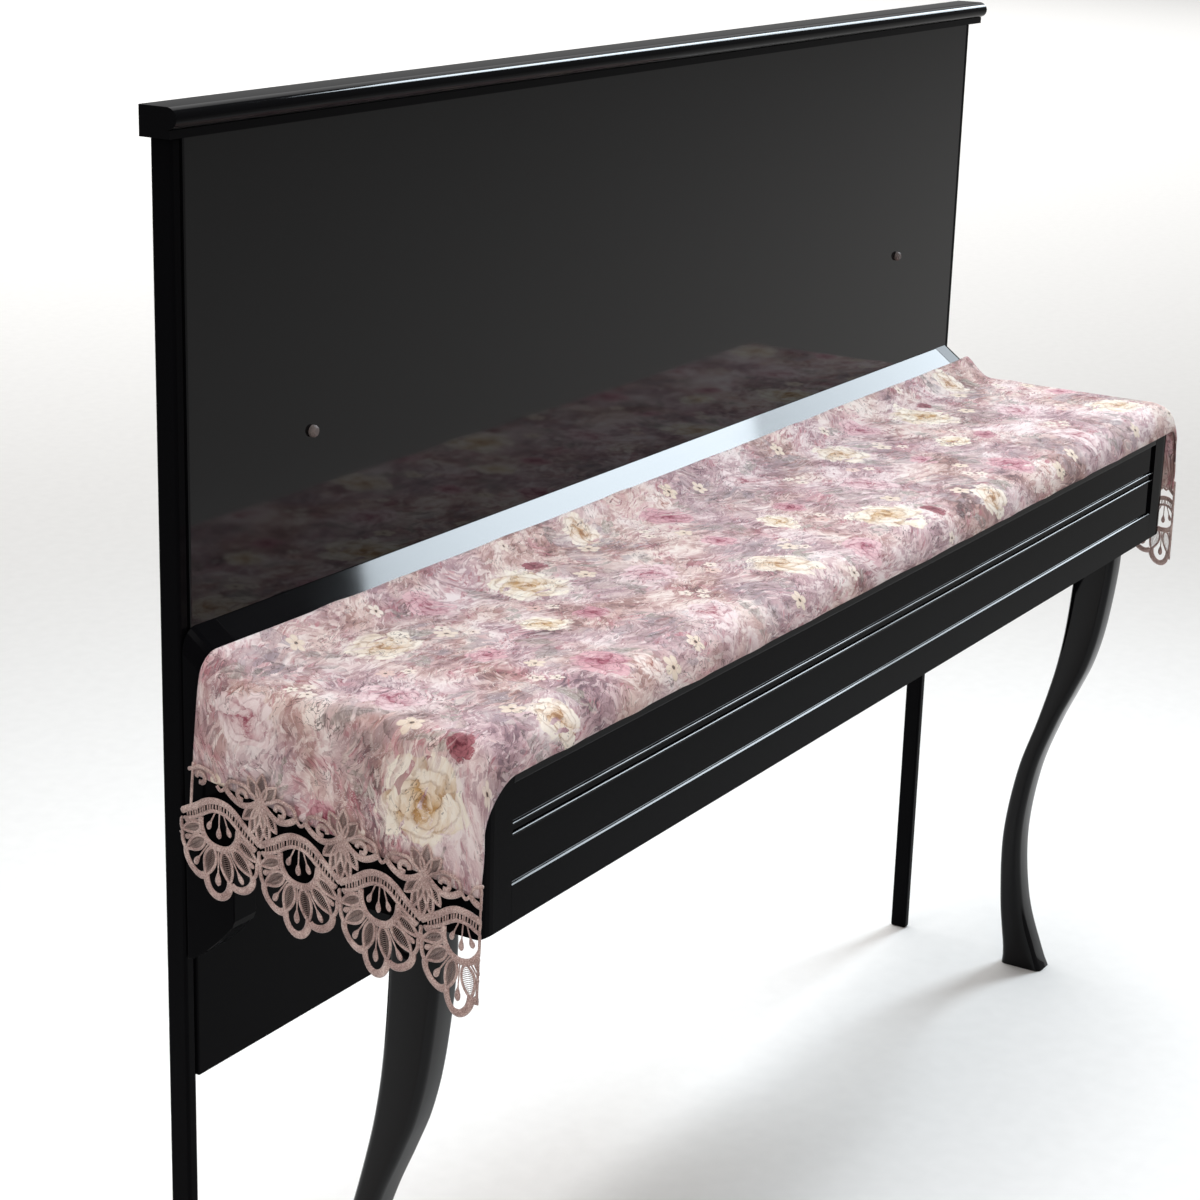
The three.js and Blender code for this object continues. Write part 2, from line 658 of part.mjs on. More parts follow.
// Halves each edge that runs too far along the lace, so that the plate can bend between its corners
function splitLong(points, triangles) {
  const middles = new Map();
  const middleOf = (i, j) => {
    const turning = Math.max(points[i].x, points[j].x) > CLOTH_WIDTH - LACE_TURN;
    if (Math.abs(points[i].x - points[j].x) <= (turning ? LACE_TURN_STEP : LACE_STEP)) return null;
    const key = `${Math.min(i, j)}_${Math.max(i, j)}`;
    if (!middles.has(key)) {
      middles.set(key, points.push(points[i].clone().add(points[j]).multiplyScalar(0.5)) - 1);
    }
    return middles.get(key);
  };
  const split = ([p, q, r]) => {
    const [a, b, c] = [middleOf(p, q), middleOf(q, r), middleOf(r, p)];
    if (a === null && b === null && c === null) return [[p, q, r]];
    if (a !== null && b !== null && c !== null) return [[p, a, c], [a, q, b], [c, b, r], [a, b, c]];
    if (a === null) return split([q, r, p]);
    if (b !== null) return [[a, q, b], [p, a, b], [p, b, r]];
    if (c !== null) return [[p, a, c], [a, q, c], [c, q, r]];
    return [[p, a, r], [a, q, r]];
  };
  const finer = triangles.flatMap(split);
  return middles.size > 0 ? splitLong(points, finer) : finer;
}

// Lace border on a hanging end, a little outside the cloth that it is sewn to
function hangingLace(tail) {
  const STEP = 0.5;
  const { vertProperties, triVerts } = flatLace();
  const flat = [];
  for (let i = 0; i < vertProperties.length; i += 3) {
    flat.push(new THREE.Vector3().fromArray(vertProperties, i));
  }
  const faces = [];
  for (let i = 0; i < triVerts.length; i += 3) {
    faces.push([...triVerts.slice(i, i + 3)]);
  }
  const triangles = splitLong(flat, faces);
  const onFace = (across, height) => fallPoint(tail, across, 1 - height / thread(tail, across).length);
  const hung = flat.map(({ x: across, y: height, z: depth }) => {
    const alongRow = onFace(across + STEP, height).sub(onFace(across - STEP, height));
    const upThread = onFace(across, height + STEP).sub(onFace(across, height - STEP));
    const outwards = alongRow.cross(upThread).normalize().multiplyScalar(-tail.side);
    return onFace(across, height).addScaledVector(outwards, LACE_LIFT + depth);
  });
  return closedGeometry(hung, triangles);
}

const PIECES = [
  ["cover_cloth", coverCloth(), PRINTED_CLOTH],
  ["lace_left", hangingLace(TAIL_LEFT), TAUPE_LACE],
  ["lace_right", hangingLace(TAIL_RIGHT), TAUPE_LACE],
  ["key_lid", keyLid(), BLACK_GLOSS],
  ["key_bed", keyBed(), BLACK_GLOSS],
  ["arm_left", keyArm(-1), BLACK_GLOSS],
  ["arm_right", keyArm(1), BLACK_GLOSS],
  ["leg_left", frontLeg(-1), BLACK_GLOSS],
  ["leg_right", frontLeg(1), BLACK_GLOSS],
  ["bracket_left", cornerBracket(-1), BLACK_GLOSS],
  ["bracket_right", cornerBracket(1), BLACK_GLOSS],
  ["back_board", cabinetBoard(BACK_BOARD_FOOT, PANEL_FOOT - GAP), BLACK_GLOSS],
  ["upper_panel", cabinetBoard(PANEL_FOOT, PANEL_TOP), BLACK_GLOSS],
  ["post_left", cabinetPost(-1), BLACK_GLOSS],
  ["post_right", cabinetPost(1), BLACK_GLOSS],
  ["top_board", topBoard(), BLACK_GLOSS],
  ["buffer_left", lidBuffer(-1), BLACK_RUBBER],
  ["buffer_right", lidBuffer(1), BLACK_RUBBER],
];

const coverOnCase = new THREE.Group();
for (const [name, geometry, finish] of PIECES) {
  const mesh = new THREE.Mesh(geometry, new THREE.MeshStandardMaterial(finish));
  mesh.name = name;
  coverOnCase.add(mesh);
}

// The part stands with the middle of its footprint on the origin
coverOnCase.position.set(0, -FOOTPRINT_MIDDLE, 0);

export default coverOnCase;
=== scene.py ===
"""Looks of a piano keyboard cover: draped printed cloth with lace ends, on a plain lacquered piano."""

import logging
import math
from collections.abc import Sequence
from dataclasses import dataclass, field
from enum import Enum

import bmesh
import bpy
import numpy as np
from mathutils import Matrix, Vector


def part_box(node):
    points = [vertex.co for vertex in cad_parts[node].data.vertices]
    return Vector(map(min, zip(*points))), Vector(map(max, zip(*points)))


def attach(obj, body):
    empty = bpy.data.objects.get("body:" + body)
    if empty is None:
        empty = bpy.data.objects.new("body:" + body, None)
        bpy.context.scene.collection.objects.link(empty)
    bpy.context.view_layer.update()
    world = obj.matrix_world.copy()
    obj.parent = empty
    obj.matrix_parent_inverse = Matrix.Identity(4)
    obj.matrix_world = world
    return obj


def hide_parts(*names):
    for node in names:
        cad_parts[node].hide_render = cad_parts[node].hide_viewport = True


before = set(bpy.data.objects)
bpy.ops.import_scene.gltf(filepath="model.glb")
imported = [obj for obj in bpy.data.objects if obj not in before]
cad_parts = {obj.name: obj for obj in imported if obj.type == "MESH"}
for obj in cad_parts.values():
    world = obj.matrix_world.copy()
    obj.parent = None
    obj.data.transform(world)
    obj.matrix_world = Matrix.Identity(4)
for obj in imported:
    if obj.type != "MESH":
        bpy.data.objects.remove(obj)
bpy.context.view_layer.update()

LOG = logging.getLogger("piano_cover")
MM = 0.001
EDGE_ROUNDING = 0.0011
SHARP_EDGE = math.radians(35)
CASE_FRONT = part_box("key_bed")[0].y
CASE_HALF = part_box("arm_right")[1].x / MM

Points = np.ndarray
Link = bpy.types.NodeSocket
Colour = tuple[float, float, float, float]


# Shader building


def ink(code: str) -> Colour:
    """Turns a hex colour as seen on a screen into linear light.

    Args:
        code: six hex digits after a hash.

    Returns:
        The colour with full alpha.
    """
    parts = [int(code[k : k + 2], 16) / 255 for k in (1, 3, 5)]
    red, green, blue = (p / 12.92 if p <= 0.04045 else ((p + 0.055) / 1.055) ** 2.4 for p in parts)
    return red, green, blue, 1.0


class Value:
    """A number that changes over a surface; sums and products of it add Math nodes."""

    def __init__(self, maker: "Finish", socket: Link) -> None:
        """Wraps an output socket of the maker's node tree."""
        self.maker = maker
        self.socket = socket

    def math(self, operation: str, *others: "Value | float") -> "Value":
        """Adds one Math node on this value.

        Args:
            operation: the node's operation.
            others: the values of its other sockets, in order.

        Returns:
            The node's result.
        """
        return self.maker.math(operation, self, *others)

    def __add__(self, other: "Value | float") -> "Value":
        """Sum."""
        return self.math("ADD", other)

    __radd__ = __add__

    def __mul__(self, other: "Value | float") -> "Value":
        """Product."""
        return self.math("MULTIPLY", other)

    __rmul__ = __mul__

    def __sub__(self, other: "Value | float") -> "Value":
        """Difference."""
        return self.math("SUBTRACT", other)

    def __rsub__(self, other: float) -> "Value":
        """Difference from a number."""
        return self.maker.math("SUBTRACT", other, self)

    def __truediv__(self, other: "Value | float") -> "Value":
        """Quotient."""
        return self.math("DIVIDE", other)

    def __pow__(self, power: float) -> "Value":
        """Power."""
        return self.math("POWER", power)

    def __abs__(self) -> "Value":
        """Size without its sign."""
        return self.math("ABSOLUTE")

    def sin(self) -> "Value":
        """Sine."""
        return self.math("SINE")

    def fract(self) -> "Value":
        """Part after the whole number."""
        return self.math("FRACT")

    def step(self, low: float, high: float) -> "Value":
        """Steps smoothly from 0 to 1.

        Args:
            low: where it is 0.
            high: where it is 1, which may be the lower of the two.

        Returns:
            The step.
        """
        settings = {"interpolation_type": "SMOOTHSTEP"}
        ends = {"From Min": min(low, high), "From Max": max(low, high)}
        ends |= {"To Min": float(low > high), "To Max": float(low < high)}
        node = self.maker.node("ShaderNodeMapRange", settings, {"Value": self, **ends})
        return Value(self.maker, node.outputs["Result"])


class Finish:
    """A node material in the making."""

    def __init__(self, name: str, constants: dict[str, float | Colour]) -> None:
        """Starts a material.

        Args:
            name: the material's name.
            constants: values of the shader's sockets that are the same all over.
        """
        self.material = bpy.data.materials.new(name)
        self.material.use_nodes = True
        self.tree = self.material.node_tree
        self.shader = self.tree.nodes["Principled BSDF"]
        for socket, value in constants.items():
            self.shader.inputs[socket].default_value = value

    def feed(self, socket: Link, value: "Value | Link | float | Sequence[float]") -> None:
        """Links a value to a socket, or sets the socket's own value.

        Args:
            socket: the input.
            value: what to link, or a number or colour to set.
        """
        if isinstance(value, Value):
            value = value.socket
        if isinstance(value, bpy.types.NodeSocket):
            self.tree.links.new(value, socket)
        else:
            socket.default_value = value

    def node(self, kind: str, settings: dict | None = None, inputs: dict | None = None) -> bpy.types.Node:
        """Adds a node.

        Args:
            kind: the node's type.
            settings: its properties; stops holds a ramp's places and colours.
            inputs: values or links of its sockets, by name or number.

        Returns:
            The node.
        """
        made = self.tree.nodes.new(kind)
        for key, value in (settings or {}).items():
            if key == "stops":
                elements = made.color_ramp.elements
                for place, _ in value[2:]:
                    elements.new(place)
                for element, (place, colour) in zip(elements, value):
                    element.position, element.color = place, colour
            else:
                setattr(made, key, value)
        for key, value in (inputs or {}).items():
            self.feed(made.inputs[key], value)
        return made

    def math(self, operation: str, *values: Value | float) -> Value:
        """Adds a Math node.

        Args:
            operation: the node's operation.
            values: its inputs, in order.

        Returns:
            The node's result.
        """
        made = self.node("ShaderNodeMath", {"operation": operation}, dict(enumerate(values)))
        return Value(self, made.outputs[0])

    def vector(self, operation: str, *values: Link | Sequence[float]) -> Link:
        """Adds a Vector Math node and returns its vector."""
        made = self.node("ShaderNodeVectorMath", {"operation": operation}, dict(enumerate(values)))
        return made.outputs[0]

    def scaled(self, vector: Link, factor: float) -> Link:
        """Returns a vector times a number."""
        settings = {"operation": "SCALE"}
        return self.node("ShaderNodeVectorMath", settings, {0: vector, "Scale": factor}).outputs[0]

    def parts(self, vector: Link) -> tuple[Value, Value, Value]:
        """Takes a vector apart.

        Args:
            vector: the vector.

        Returns:
            Its three parts.
        """
        made = self.node("ShaderNodeSeparateXYZ", None, {0: vector})
        x, y, z = (Value(self, output) for output in made.outputs)
        return x, y, z

    def mix(
        self, share: Value | float, first: Link | Colour, second: Link | Colour, way: str = "MIX"
    ) -> Link:
        """Mixes two colours.

        Args:
            share: how much of the second colour.
            first: the colour under it.
            second: the colour over it.
            way: how they blend.

        Returns:
            The mixed colour.
        """
        settings = {"data_type": "RGBA", "blend_type": way}
        return self.node("ShaderNodeMix", settings, {0: share, 6: first, 7: second}).outputs[2]

    def ramp(self, share: Value | Link, stops: "Stops") -> Link:
        """Returns the colour of a ramp at a share, from places and hex colours."""
        settings = {"stops": [(place, ink(code)) for place, code in stops]}
        return self.node("ShaderNodeValToRGB", settings, {0: share}).outputs[0]

    def noise(self, vector: Link, scale: float, detail: float = 2, distortion: float = 0) -> bpy.types.Node:
        """Adds a noise texture and returns its node."""
        inputs = {"Vector": vector, "Scale": scale, "Detail": detail, "Distortion": distortion}
        return self.node("ShaderNodeTexNoise", None, inputs)

    def mottle(self, vector: Link, scale: float, detail: float = 2, distortion: float = 0) -> Value:
        """Returns the grey value of a noise."""
        return Value(self, self.noise(vector, scale, detail, distortion).outputs["Fac"])

    def shifted(self, vector: Link, scale: float, reach: float) -> Link:
        """Returns a vector pushed about by noise, by up to about half of reach."""
        push = self.vector("SUBTRACT", self.noise(vector, scale).outputs["Color"], (0.5, 0.5, 0.5))
        return self.vector("ADD", vector, self.scaled(push, reach))

    def attribute(self, name: str) -> Link:
        """Returns a vector attribute of the piece."""
        return self.node("ShaderNodeAttribute", {"attribute_name": name}).outputs["Vector"]

    def place(self) -> Link:
        """Returns the Object coordinates."""
        return self.node("ShaderNodeTexCoord").outputs["Object"]

    def surface(self, colour: Link, roughness: Value) -> None:
        """Feeds the shader its colour and its roughness."""
        self.feed(self.shader.inputs["Base Color"], colour)
        self.feed(self.shader.inputs["Roughness"], roughness)

    def bump(self, height: Value, depth: float, strength: float) -> None:
        """Feeds a height, in shares of depth, to the shader's Normal through a Bump node."""
        inputs = {"Height": height, "Distance": depth, "Strength": strength}
        self.feed(self.shader.inputs["Normal"], self.node("ShaderNodeBump", None, inputs).outputs[0])


# Printed flowers


class Layer(Enum):
    """Layers of the print, named by the attribute that holds each flower's own coordinates."""

    SKETCH = "print_sketch"
    LEAF = "print_leaf"
    ROSE = "print_rose"
    BLOSSOM = "print_blossom"


@dataclass(frozen=True)
class Motif:
    """A printed flower or leaf in one repeat of the cloth, in millimetres.

    along and across place its middle, size is its radius or half its length, turn is in degrees,
    tone picks its colour, from 0 to 1, and squash flattens a flower that is seen from its side.
    """

    along: float
    across: float
    size: float
    turn: float
    tone: float
    squash: float = 1.0


REPEATS = range(-3, 3)
REPEAT_LENGTH = 430
REPEAT_TURN = 67
MOTIFS: dict[Layer, tuple[Motif, ...]] = {
    Layer.ROSE: (
        Motif(58, 232, 46, 20, 0.04, 0.9),
        Motif(262, 74, 42, 130, 0.1, 0.75),
        Motif(222, 278, 29, 15, 0.13, 0.85),
        Motif(398, 150, 28, 180, 0.02, 0.7),
        Motif(160, 158, 36, 70, 0.48, 0.8),
        Motif(340, 246, 32, 310, 0.62, 0.85),
        Motif(88, 52, 34, 215, 0.4, 0.75),
        Motif(374, 42, 30, 40, 0.56, 0.75),
        Motif(22, 138, 20, 95, 0.68, 0.8),
        Motif(112, 258, 15, 250, 0.88, 0.8),
        Motif(296, 160, 21, 160, 0.6, 0.8),
        Motif(374, 274, 17, 20, 0.3, 0.8),
    ),
    Layer.BLOSSOM: (
        Motif(120, 206, 13, 10, 0.1),
        Motif(124, 100, 9, 40, 0.85),
        Motif(139, 90, 8, 0, 0.9),
        Motif(126, 82, 7, 70, 0.8),
        Motif(196, 250, 13, 25, 0.15),
        Motif(206, 118, 10, 55, 0.45),
        Motif(222, 130, 8, 15, 0.88),
        Motif(300, 204, 11, 80, 0.12),
        Motif(322, 98, 13, 35, 0.2),
        Motif(340, 114, 8, 20, 0.92),
        Motif(332, 86, 8, 60, 0.86),
        Motif(400, 284, 13, 5, 0.1),
        Motif(2, 186, 10, 45, 0.5),
        Motif(16, 176, 8, 30, 0.9),
        Motif(205, 22, 11, 65, 0.14),
        Motif(318, 22, 9, 20, 0.84),
        Motif(20, 30, 11, 50, 0.18),
        Motif(270, 226, 9, 10, 0.9),
        Motif(281, 238, 8, 35, 0.82),
        Motif(104, 295, 8, 15, 0.88),
    ),
    Layer.LEAF: (
        Motif(112, 244, 27, 35, 0.2),
        Motif(6, 250, 26, 160, 0.5),
        Motif(58, 172, 24, 85, 0.8),
        Motif(310, 78, 27, 20, 0.3),
        Motif(212, 46, 25, 200, 0.6),
        Motif(250, 122, 22, 260, 0.15),
        Motif(198, 182, 25, 10, 0.4),
        Motif(114, 146, 24, 200, 0.7),
        Motif(156, 218, 22, 95, 0.1),
        Motif(380, 254, 24, 30, 0.25),
        Motif(330, 196, 25, 110, 0.55),
        Motif(404, 112, 24, 280, 0.35),
        Motif(352, 172, 23, 190, 0.9),
        Motif(128, 30, 25, 345, 0.45),
        Motif(46, 94, 22, 140, 0.2),
        Motif(330, 30, 22, 170, 0.75),
        Motif(262, 268, 24, 20, 0.3),
        Motif(180, 292, 20, 200, 0.6),
    ),
    Layer.SKETCH: (
        Motif(116, 184, 64, 0, 0.2),
        Motif(290, 108, 60, 40, 0.7),
        Motif(20, 60, 58, 80, 0.5),
        Motif(210, 245, 58, 120, 0.9),
        Motif(360, 215, 62, 200, 0.35),
        Motif(170, 45, 52, 20, 0.6),
    ),
}


@dataclass(frozen=True)
class Stroke:
    """Brush strokes of one size and lie: length and width in metres, lie in degrees."""

    length: float
    width: float
    lie: float


Stops = tuple[tuple[float, str], ...]
Dab = tuple[Value, Value, Value]


@dataclass(frozen=True)
class Ring:
    """A ring of petals, in shares of the flower's radius.

    reach is how far out a petal's middle lies, length and width are its half sizes, start turns the
    ring, depth is how deep the ring lies in shade, line how firmly its rims are drawn, and edge where
    they start to fade.
    """

    count: int
    reach: float
    length: float
    width: float
    start: float
    depth: float
    line: float
    edge: float


@dataclass(frozen=True)
class Inks:
    """Paint of one kind of flower: its colours, its dabs of light, its cover and its broken lines."""

    light: Link
    shade: Link
    line: Link | Colour
    dab: Value
    cover: Value
    broken: Value


ROSE_RINGS = (
    Ring(5, 0.56, 0.44, 0.5, 0.2, -0.02, 0.2, 0.88),
    Ring(4, 0.36, 0.36, 0.42, 0.8, 0.1, 0.32, 0.93),
    Ring(3, 0.2, 0.25, 0.3, 0.1, 0.3, 0.42, 0.94),
    Ring(3, 0.08, 0.15, 0.16, 0.9, 0.56, 0.45, 0.94),
)
SKETCH_RINGS = (
    Ring(5, 0.55, 0.45, 0.42, 0.4, 0.0, 0.7, 0.93),
    Ring(4, 0.26, 0.3, 0.3, 0.9, 0.1, 0.7, 0.93),
)


@dataclass(frozen=True)
class FloralPrint:
    """Painterly flower print on a soft woven cloth.

    Sizes are in metres; the inks are hex colours as seen on a screen.
    """

    name: str = "floral_print"
    cloud: float = 0.075
    thread: float = 0.0009
    sheen: float = 0.1
    broad: Stroke = Stroke(0.034, 0.0068, 8)
    middling: Stroke = Stroke(0.018, 0.0038, -16)
    fine: Stroke = Stroke(0.0095, 0.0019, 26)
    ground: Stops = (
        (0.0, "#66505a"),
        (0.16, "#8a6d76"),
        (0.34, "#aa8a91"),
        (0.5, "#be9ea4"),
        (0.66, "#d0b3b7"),
        (0.82, "#e3cecf"),
        (1.0, "#f3e6e5"),
    )
    earth: Stops = (
        (0.0, "#68504d"),
        (0.2, "#8e6c68"),
        (0.42, "#b0897f"),
        (0.62, "#caa7a0"),
        (0.82, "#e0c6bd"),
        (1.0, "#f2e5dd"),
    )
    flush: Stops = ((0.0, "#8c4150"), (0.45, "#b8737d"), (1.0, "#dcacb1"))
    petal_light: Stops = (
        (0.0, "#fbf3e5"),
        (0.2, "#f8ede2"),
        (0.42, "#f3e2e3"),
        (0.64, "#dcaab2"),
        (0.84, "#ab6c74"),
        (1.0, "#8f4c57"),
    )
    petal_shade: Stops = (
        (0.0, "#d2a868"),
        (0.2, "#c99f7c"),
        (0.42, "#b96f80"),
        (0.64, "#a04660"),
        (0.84, "#74343f"),
        (1.0, "#57232d"),
    )
    petal_line: Stops = (
        (0.0, "#96653a"),
        (0.2, "#8d6148"),
        (0.42, "#8f4057"),
        (0.64, "#7a2439"),
        (1.0, "#3b1219"),
    )
    leaf: Stops = (
        (0.0, "#83867b"),
        (0.3, "#9c978a"),
        (0.55, "#8a7e80"),
        (0.8, "#787069"),
        (1.0, "#a08f89"),
    )
    blossom: Stops = (
        (0.0, "#ead8c4"),
        (0.3, "#f0e3d6"),
        (0.5, "#e4c2bc"),
        (0.8, "#f4e9de"),
        (1.0, "#efddd4"),
    )
    wash: Stops = ((0.0, "#e0d2c8"), (0.4, "#cbb0b0"), (0.7, "#a79aa2"), (1.0, "#e6dad0"))
    wash_shade: str = "#84696f"
    leaf_dab: str = "#b9ada7"
    leaf_vein: str = "#d8d0c5"
    leaf_rim: str = "#6f6663"
    leaf_rib: str = "#5f5452"
    blossom_throat: str = "#d0a684"
    blossom_rim: str = "#b08e88"
    blossom_fold: str = "#8a5f50"
    blossom_eye: str = "#4d3630"
    line: str = "#4b3a38"
    pale: str = "#f8efec"
    dark_dash: str = "#7d4a55"
    pale_dash: str = "#d9b7b4"
    # threads: painted shade of the weave, grey in the hollows between threads and white on their crowns
    threads: Stops = ((0.0, "#8a8a8a"), (1.0, "#ffffff"))

    def build(self) -> bpy.types.Material:
        """Makes the print's material.

        Returns:
            The material.
        """
        constants = {"Sheen Weight": self.sheen, "Sheen Roughness": 0.45, "Specular IOR Level": 0.2}
        finish = Finish(self.name, constants)
        flat = finish.attribute("flat")
        flowing = finish.shifted(finish.shifted(flat, 9, 0.075), 34, 0.016)
        ragged = finish.shifted(flowing, 170, 0.0035)
        dabs = [self.strokes(finish, ragged, stroke) for stroke in (self.broad, self.middling, self.fine)]
        colour = self.painted_ground(finish, flat, ragged, dabs)
        colour = self.sketched(finish, colour, dabs)
        colour = self.leaves(finish, colour, dabs)
        colour = self.roses(finish, colour, dabs)
        colour = self.blossoms(finish, colour)
        colour = self.line_work(finish, flowing, ragged, colour, dabs)
        threads = self.weave(finish, flat)
        # Painted shade: the print is darkened where the weave's threads are low, as shade in its hollows
        colour = finish.mix(0.14, colour, finish.ramp(threads, self.threads), "MULTIPLY")
        wear = finish.mottle(flat, 40, 3)
        finish.surface(colour, 0.66 + 0.2 * wear)
        finish.bump(threads + 0.6 * finish.mottle(flat, 900, 2), depth=0.00022, strength=0.6)
        return finish.material

    @staticmethod
    def strokes(finish: Finish, place: Link, stroke: Stroke) -> Dab:
        """Cuts the cloth into brush strokes.

        Args:
            finish: the material in the making.
            place: place on the cloth, pushed about.
            stroke: the strokes' size and lie.

        Returns:
            Two random numbers of each stroke, and how near its edge a place is.
        """
        turned = finish.node(
            "ShaderNodeVectorRotate",
            {"rotation_type": "Z_AXIS"},
            {"Vector": place, "Angle": math.radians(stroke.lie)},
        ).outputs[0]
        stretched = finish.vector("MULTIPLY", turned, (1 / stroke.length, 1 / stroke.width, 0))
        inputs = {"Vector": stretched, "Scale": 1.0}
        cells = finish.node("ShaderNodeTexVoronoi", {"voronoi_dimensions": "2D"}, inputs)
        first, second, _ = finish.parts(cells.outputs["Color"])
        return first, second, Value(finish, cells.outputs["Distance"])

    def painted_ground(self, finish: Finish, flat: Link, ragged: Link, dabs: Sequence[Dab]) -> Link:
        """Paints the ground in strokes of three sizes under a slow change of tone.

        Args:
            finish: the material in the making.
            flat: place on the flat cloth.
            ragged: the same place, pushed about.
            dabs: random numbers and edges of the strokes.

        Returns:
            The colour.
        """
        (big, big_kind, _), (mid, mid_kind, mid_edge), (small, small_kind, small_edge) = dabs
        clouds = finish.mottle(flat, 1 / self.cloud, 3, 0.6)
        bristle = finish.mottle(ragged, 260, 4, 1.4)
        base = 2.1 * (clouds - 0.5) + 0.6 + 0.22 * (bristle - 0.5)
        warm = finish.mottle(flat, 8, 3, 0.5).step(0.42, 0.62)

        def tinted(tone: Value) -> Link:
            """The ground's colour at a tone, mauve or earthy."""
            return finish.mix(0.85 * warm, finish.ramp(tone, self.ground), finish.ramp(tone, self.earth))

        colour = tinted(base + 0.42 * (big - 0.5))
        blots = finish.mottle(ragged, 64, 6, 0.7)
        colour = finish.mix(0.6 * blots.step(0.53, 0.56), colour, tinted(base + 0.3))
        colour = finish.mix(0.55 * blots.step(0.43, 0.4), colour, tinted(base - 0.26))
        rosy = finish.mottle(flat, 21, 2, 0.8)
        pinks = finish.ramp(big + 0.5 * (bristle - 0.5), self.flush)
        colour = finish.mix(0.55 * rosy.step(0.5, 0.68) * big_kind.step(0.35, 0.5), colour, pinks)
        over = mid_kind.step(0.55, 0.6) * mid_edge.step(0.57, 0.5)
        colour = finish.mix(0.62 * over, colour, tinted(base + 0.95 * (mid - 0.42)))
        over = small_kind.step(0.74, 0.77) * small_edge.step(0.54, 0.46)
        colour = finish.mix(0.62 * over, colour, tinted(base + 1.1 * (small - 0.4)))
        strokes = small_kind.step(0.2, 0.17) * small_edge.step(0.54, 0.46) * rosy.step(0.42, 0.6)
        return finish.mix(0.7 * strokes, colour, finish.ramp(small, self.flush))

    def own_place(self, finish: Finish, layer: Layer, rough: float) -> tuple[Link, Value, Link]:
        """Reads a layer's own coordinates and roughens them as a brush does.

        Args:
            finish: the material in the making.
            layer: the layer.
            rough: how far the brush strays, in shares of the flower's size.

        Returns:
            Its roughened place, its tone and a place that differs from flower to flower.
        """
        raw = finish.attribute(layer.value)
        _, _, tone = finish.parts(raw)
        spread = finish.vector("MULTIPLY", raw, (1, 1, 60))
        push = finish.vector("SUBTRACT", finish.shifted(spread, 1.4, rough), spread)
        strayed = finish.shifted(finish.vector("ADD", raw, push), 7, rough * 0.28)
        return finish.vector("MULTIPLY", strayed, (1, 1, 0)), tone, spread

    @staticmethod
    def polar(x: Value, y: Value) -> tuple[Value, Value]:
        """Returns the radius and the angle of a place."""
        return (x * x + y * y) ** 0.5, y.math("ARCTAN2", x)

    def petals(self, finish: Finish, under: Link, place: Link, rings: Sequence[Ring], inks: Inks) -> Link:
        """Paints overlapping petals, the outer ring first, each in shade at its foot and light at its rim.

        Args:
            finish: the material in the making.
            under: the colour under them.
            place: place on the flower.
            rings: the rings of petals, outer first.
            inks: the petals' light, shade and line, and how far they cover.

        Returns:
            The colour with the petals on it.
        """
        x, y, _ = finish.parts(place)
        radius, angle = self.polar(x, y)
        colour = under
        for ring in rings:
            sector = math.tau / ring.count
            swept = angle * (1 / sector) + 0.4 * radius
            own = ((swept + ring.start).fract() - 0.42) * sector
            out = (radius * own.math("COSINE") - ring.reach) / ring.length
            aside = radius * own.sin() / ring.width
            reach = (out * out + aside * aside) ** 0.5
            lit = out.step(-1.1, 0.5) - 0.25 * aside.step(0.0, 0.9) + inks.dab - ring.depth
            body = finish.mix(lit, inks.shade, inks.light)
            rim = reach.step(0.86, 0.98) + own.step(0.25 * sector, 0.56 * sector)
            body = finish.mix(ring.line * rim * inks.broken, body, inks.line)
            if ring is not rings[0]:
                colour = finish.mix(0.38 * reach.step(1.24, 0.98) * inks.cover, colour, inks.line)
            colour = finish.mix(reach.step(1.0, ring.edge) * inks.cover, colour, body)
        return colour

    def roses(self, finish: Finish, under: Link, dabs: Sequence[Dab]) -> Link:
        """Paints full roses with a furled heart, and wisps of paint round them.

        Args:
            finish: the material in the making.
            under: the colour under them.
            dabs: random numbers and edges of the strokes.

        Returns:
            The colour with the roses on it.
        """
        (_, big_kind, _), (mid, mid_kind, _), (small, small_kind, _) = dabs
        place, tone, raw = self.own_place(finish, Layer.ROSE, 0.62)
        x, y, _ = finish.parts(place)
        radius = (x * x + y * y) ** 0.5
        light = finish.ramp(tone, self.petal_light)
        shade = finish.ramp(tone, self.petal_shade)
        line = finish.ramp(tone, self.petal_line)
        wisps = 0.55 * radius.step(1.3, 0.9) * small_kind.step(0.5, 0.55) * mid_kind.step(0.3, 0.36)
        under = finish.mix(wisps, under, finish.mix(0.45, light, ink(self.pale)))
        dab = 0.3 * (mid - 0.5) + 0.22 * (small - 0.5)
        cover = mid_kind.step(0.02, 0.06) * (1 - 0.75 * radius.step(0.62, 0.98) * big_kind.step(0.62, 0.7))
        broken = finish.mottle(raw, 5, 3, 0.5).step(0.34, 0.52)
        colour = self.petals(finish, under, place, ROSE_RINGS, Inks(light, shade, line, dab, cover, broken))
        heart = radius.step(0.17, 0.04)
        return finish.mix(0.75 * heart, colour, line)

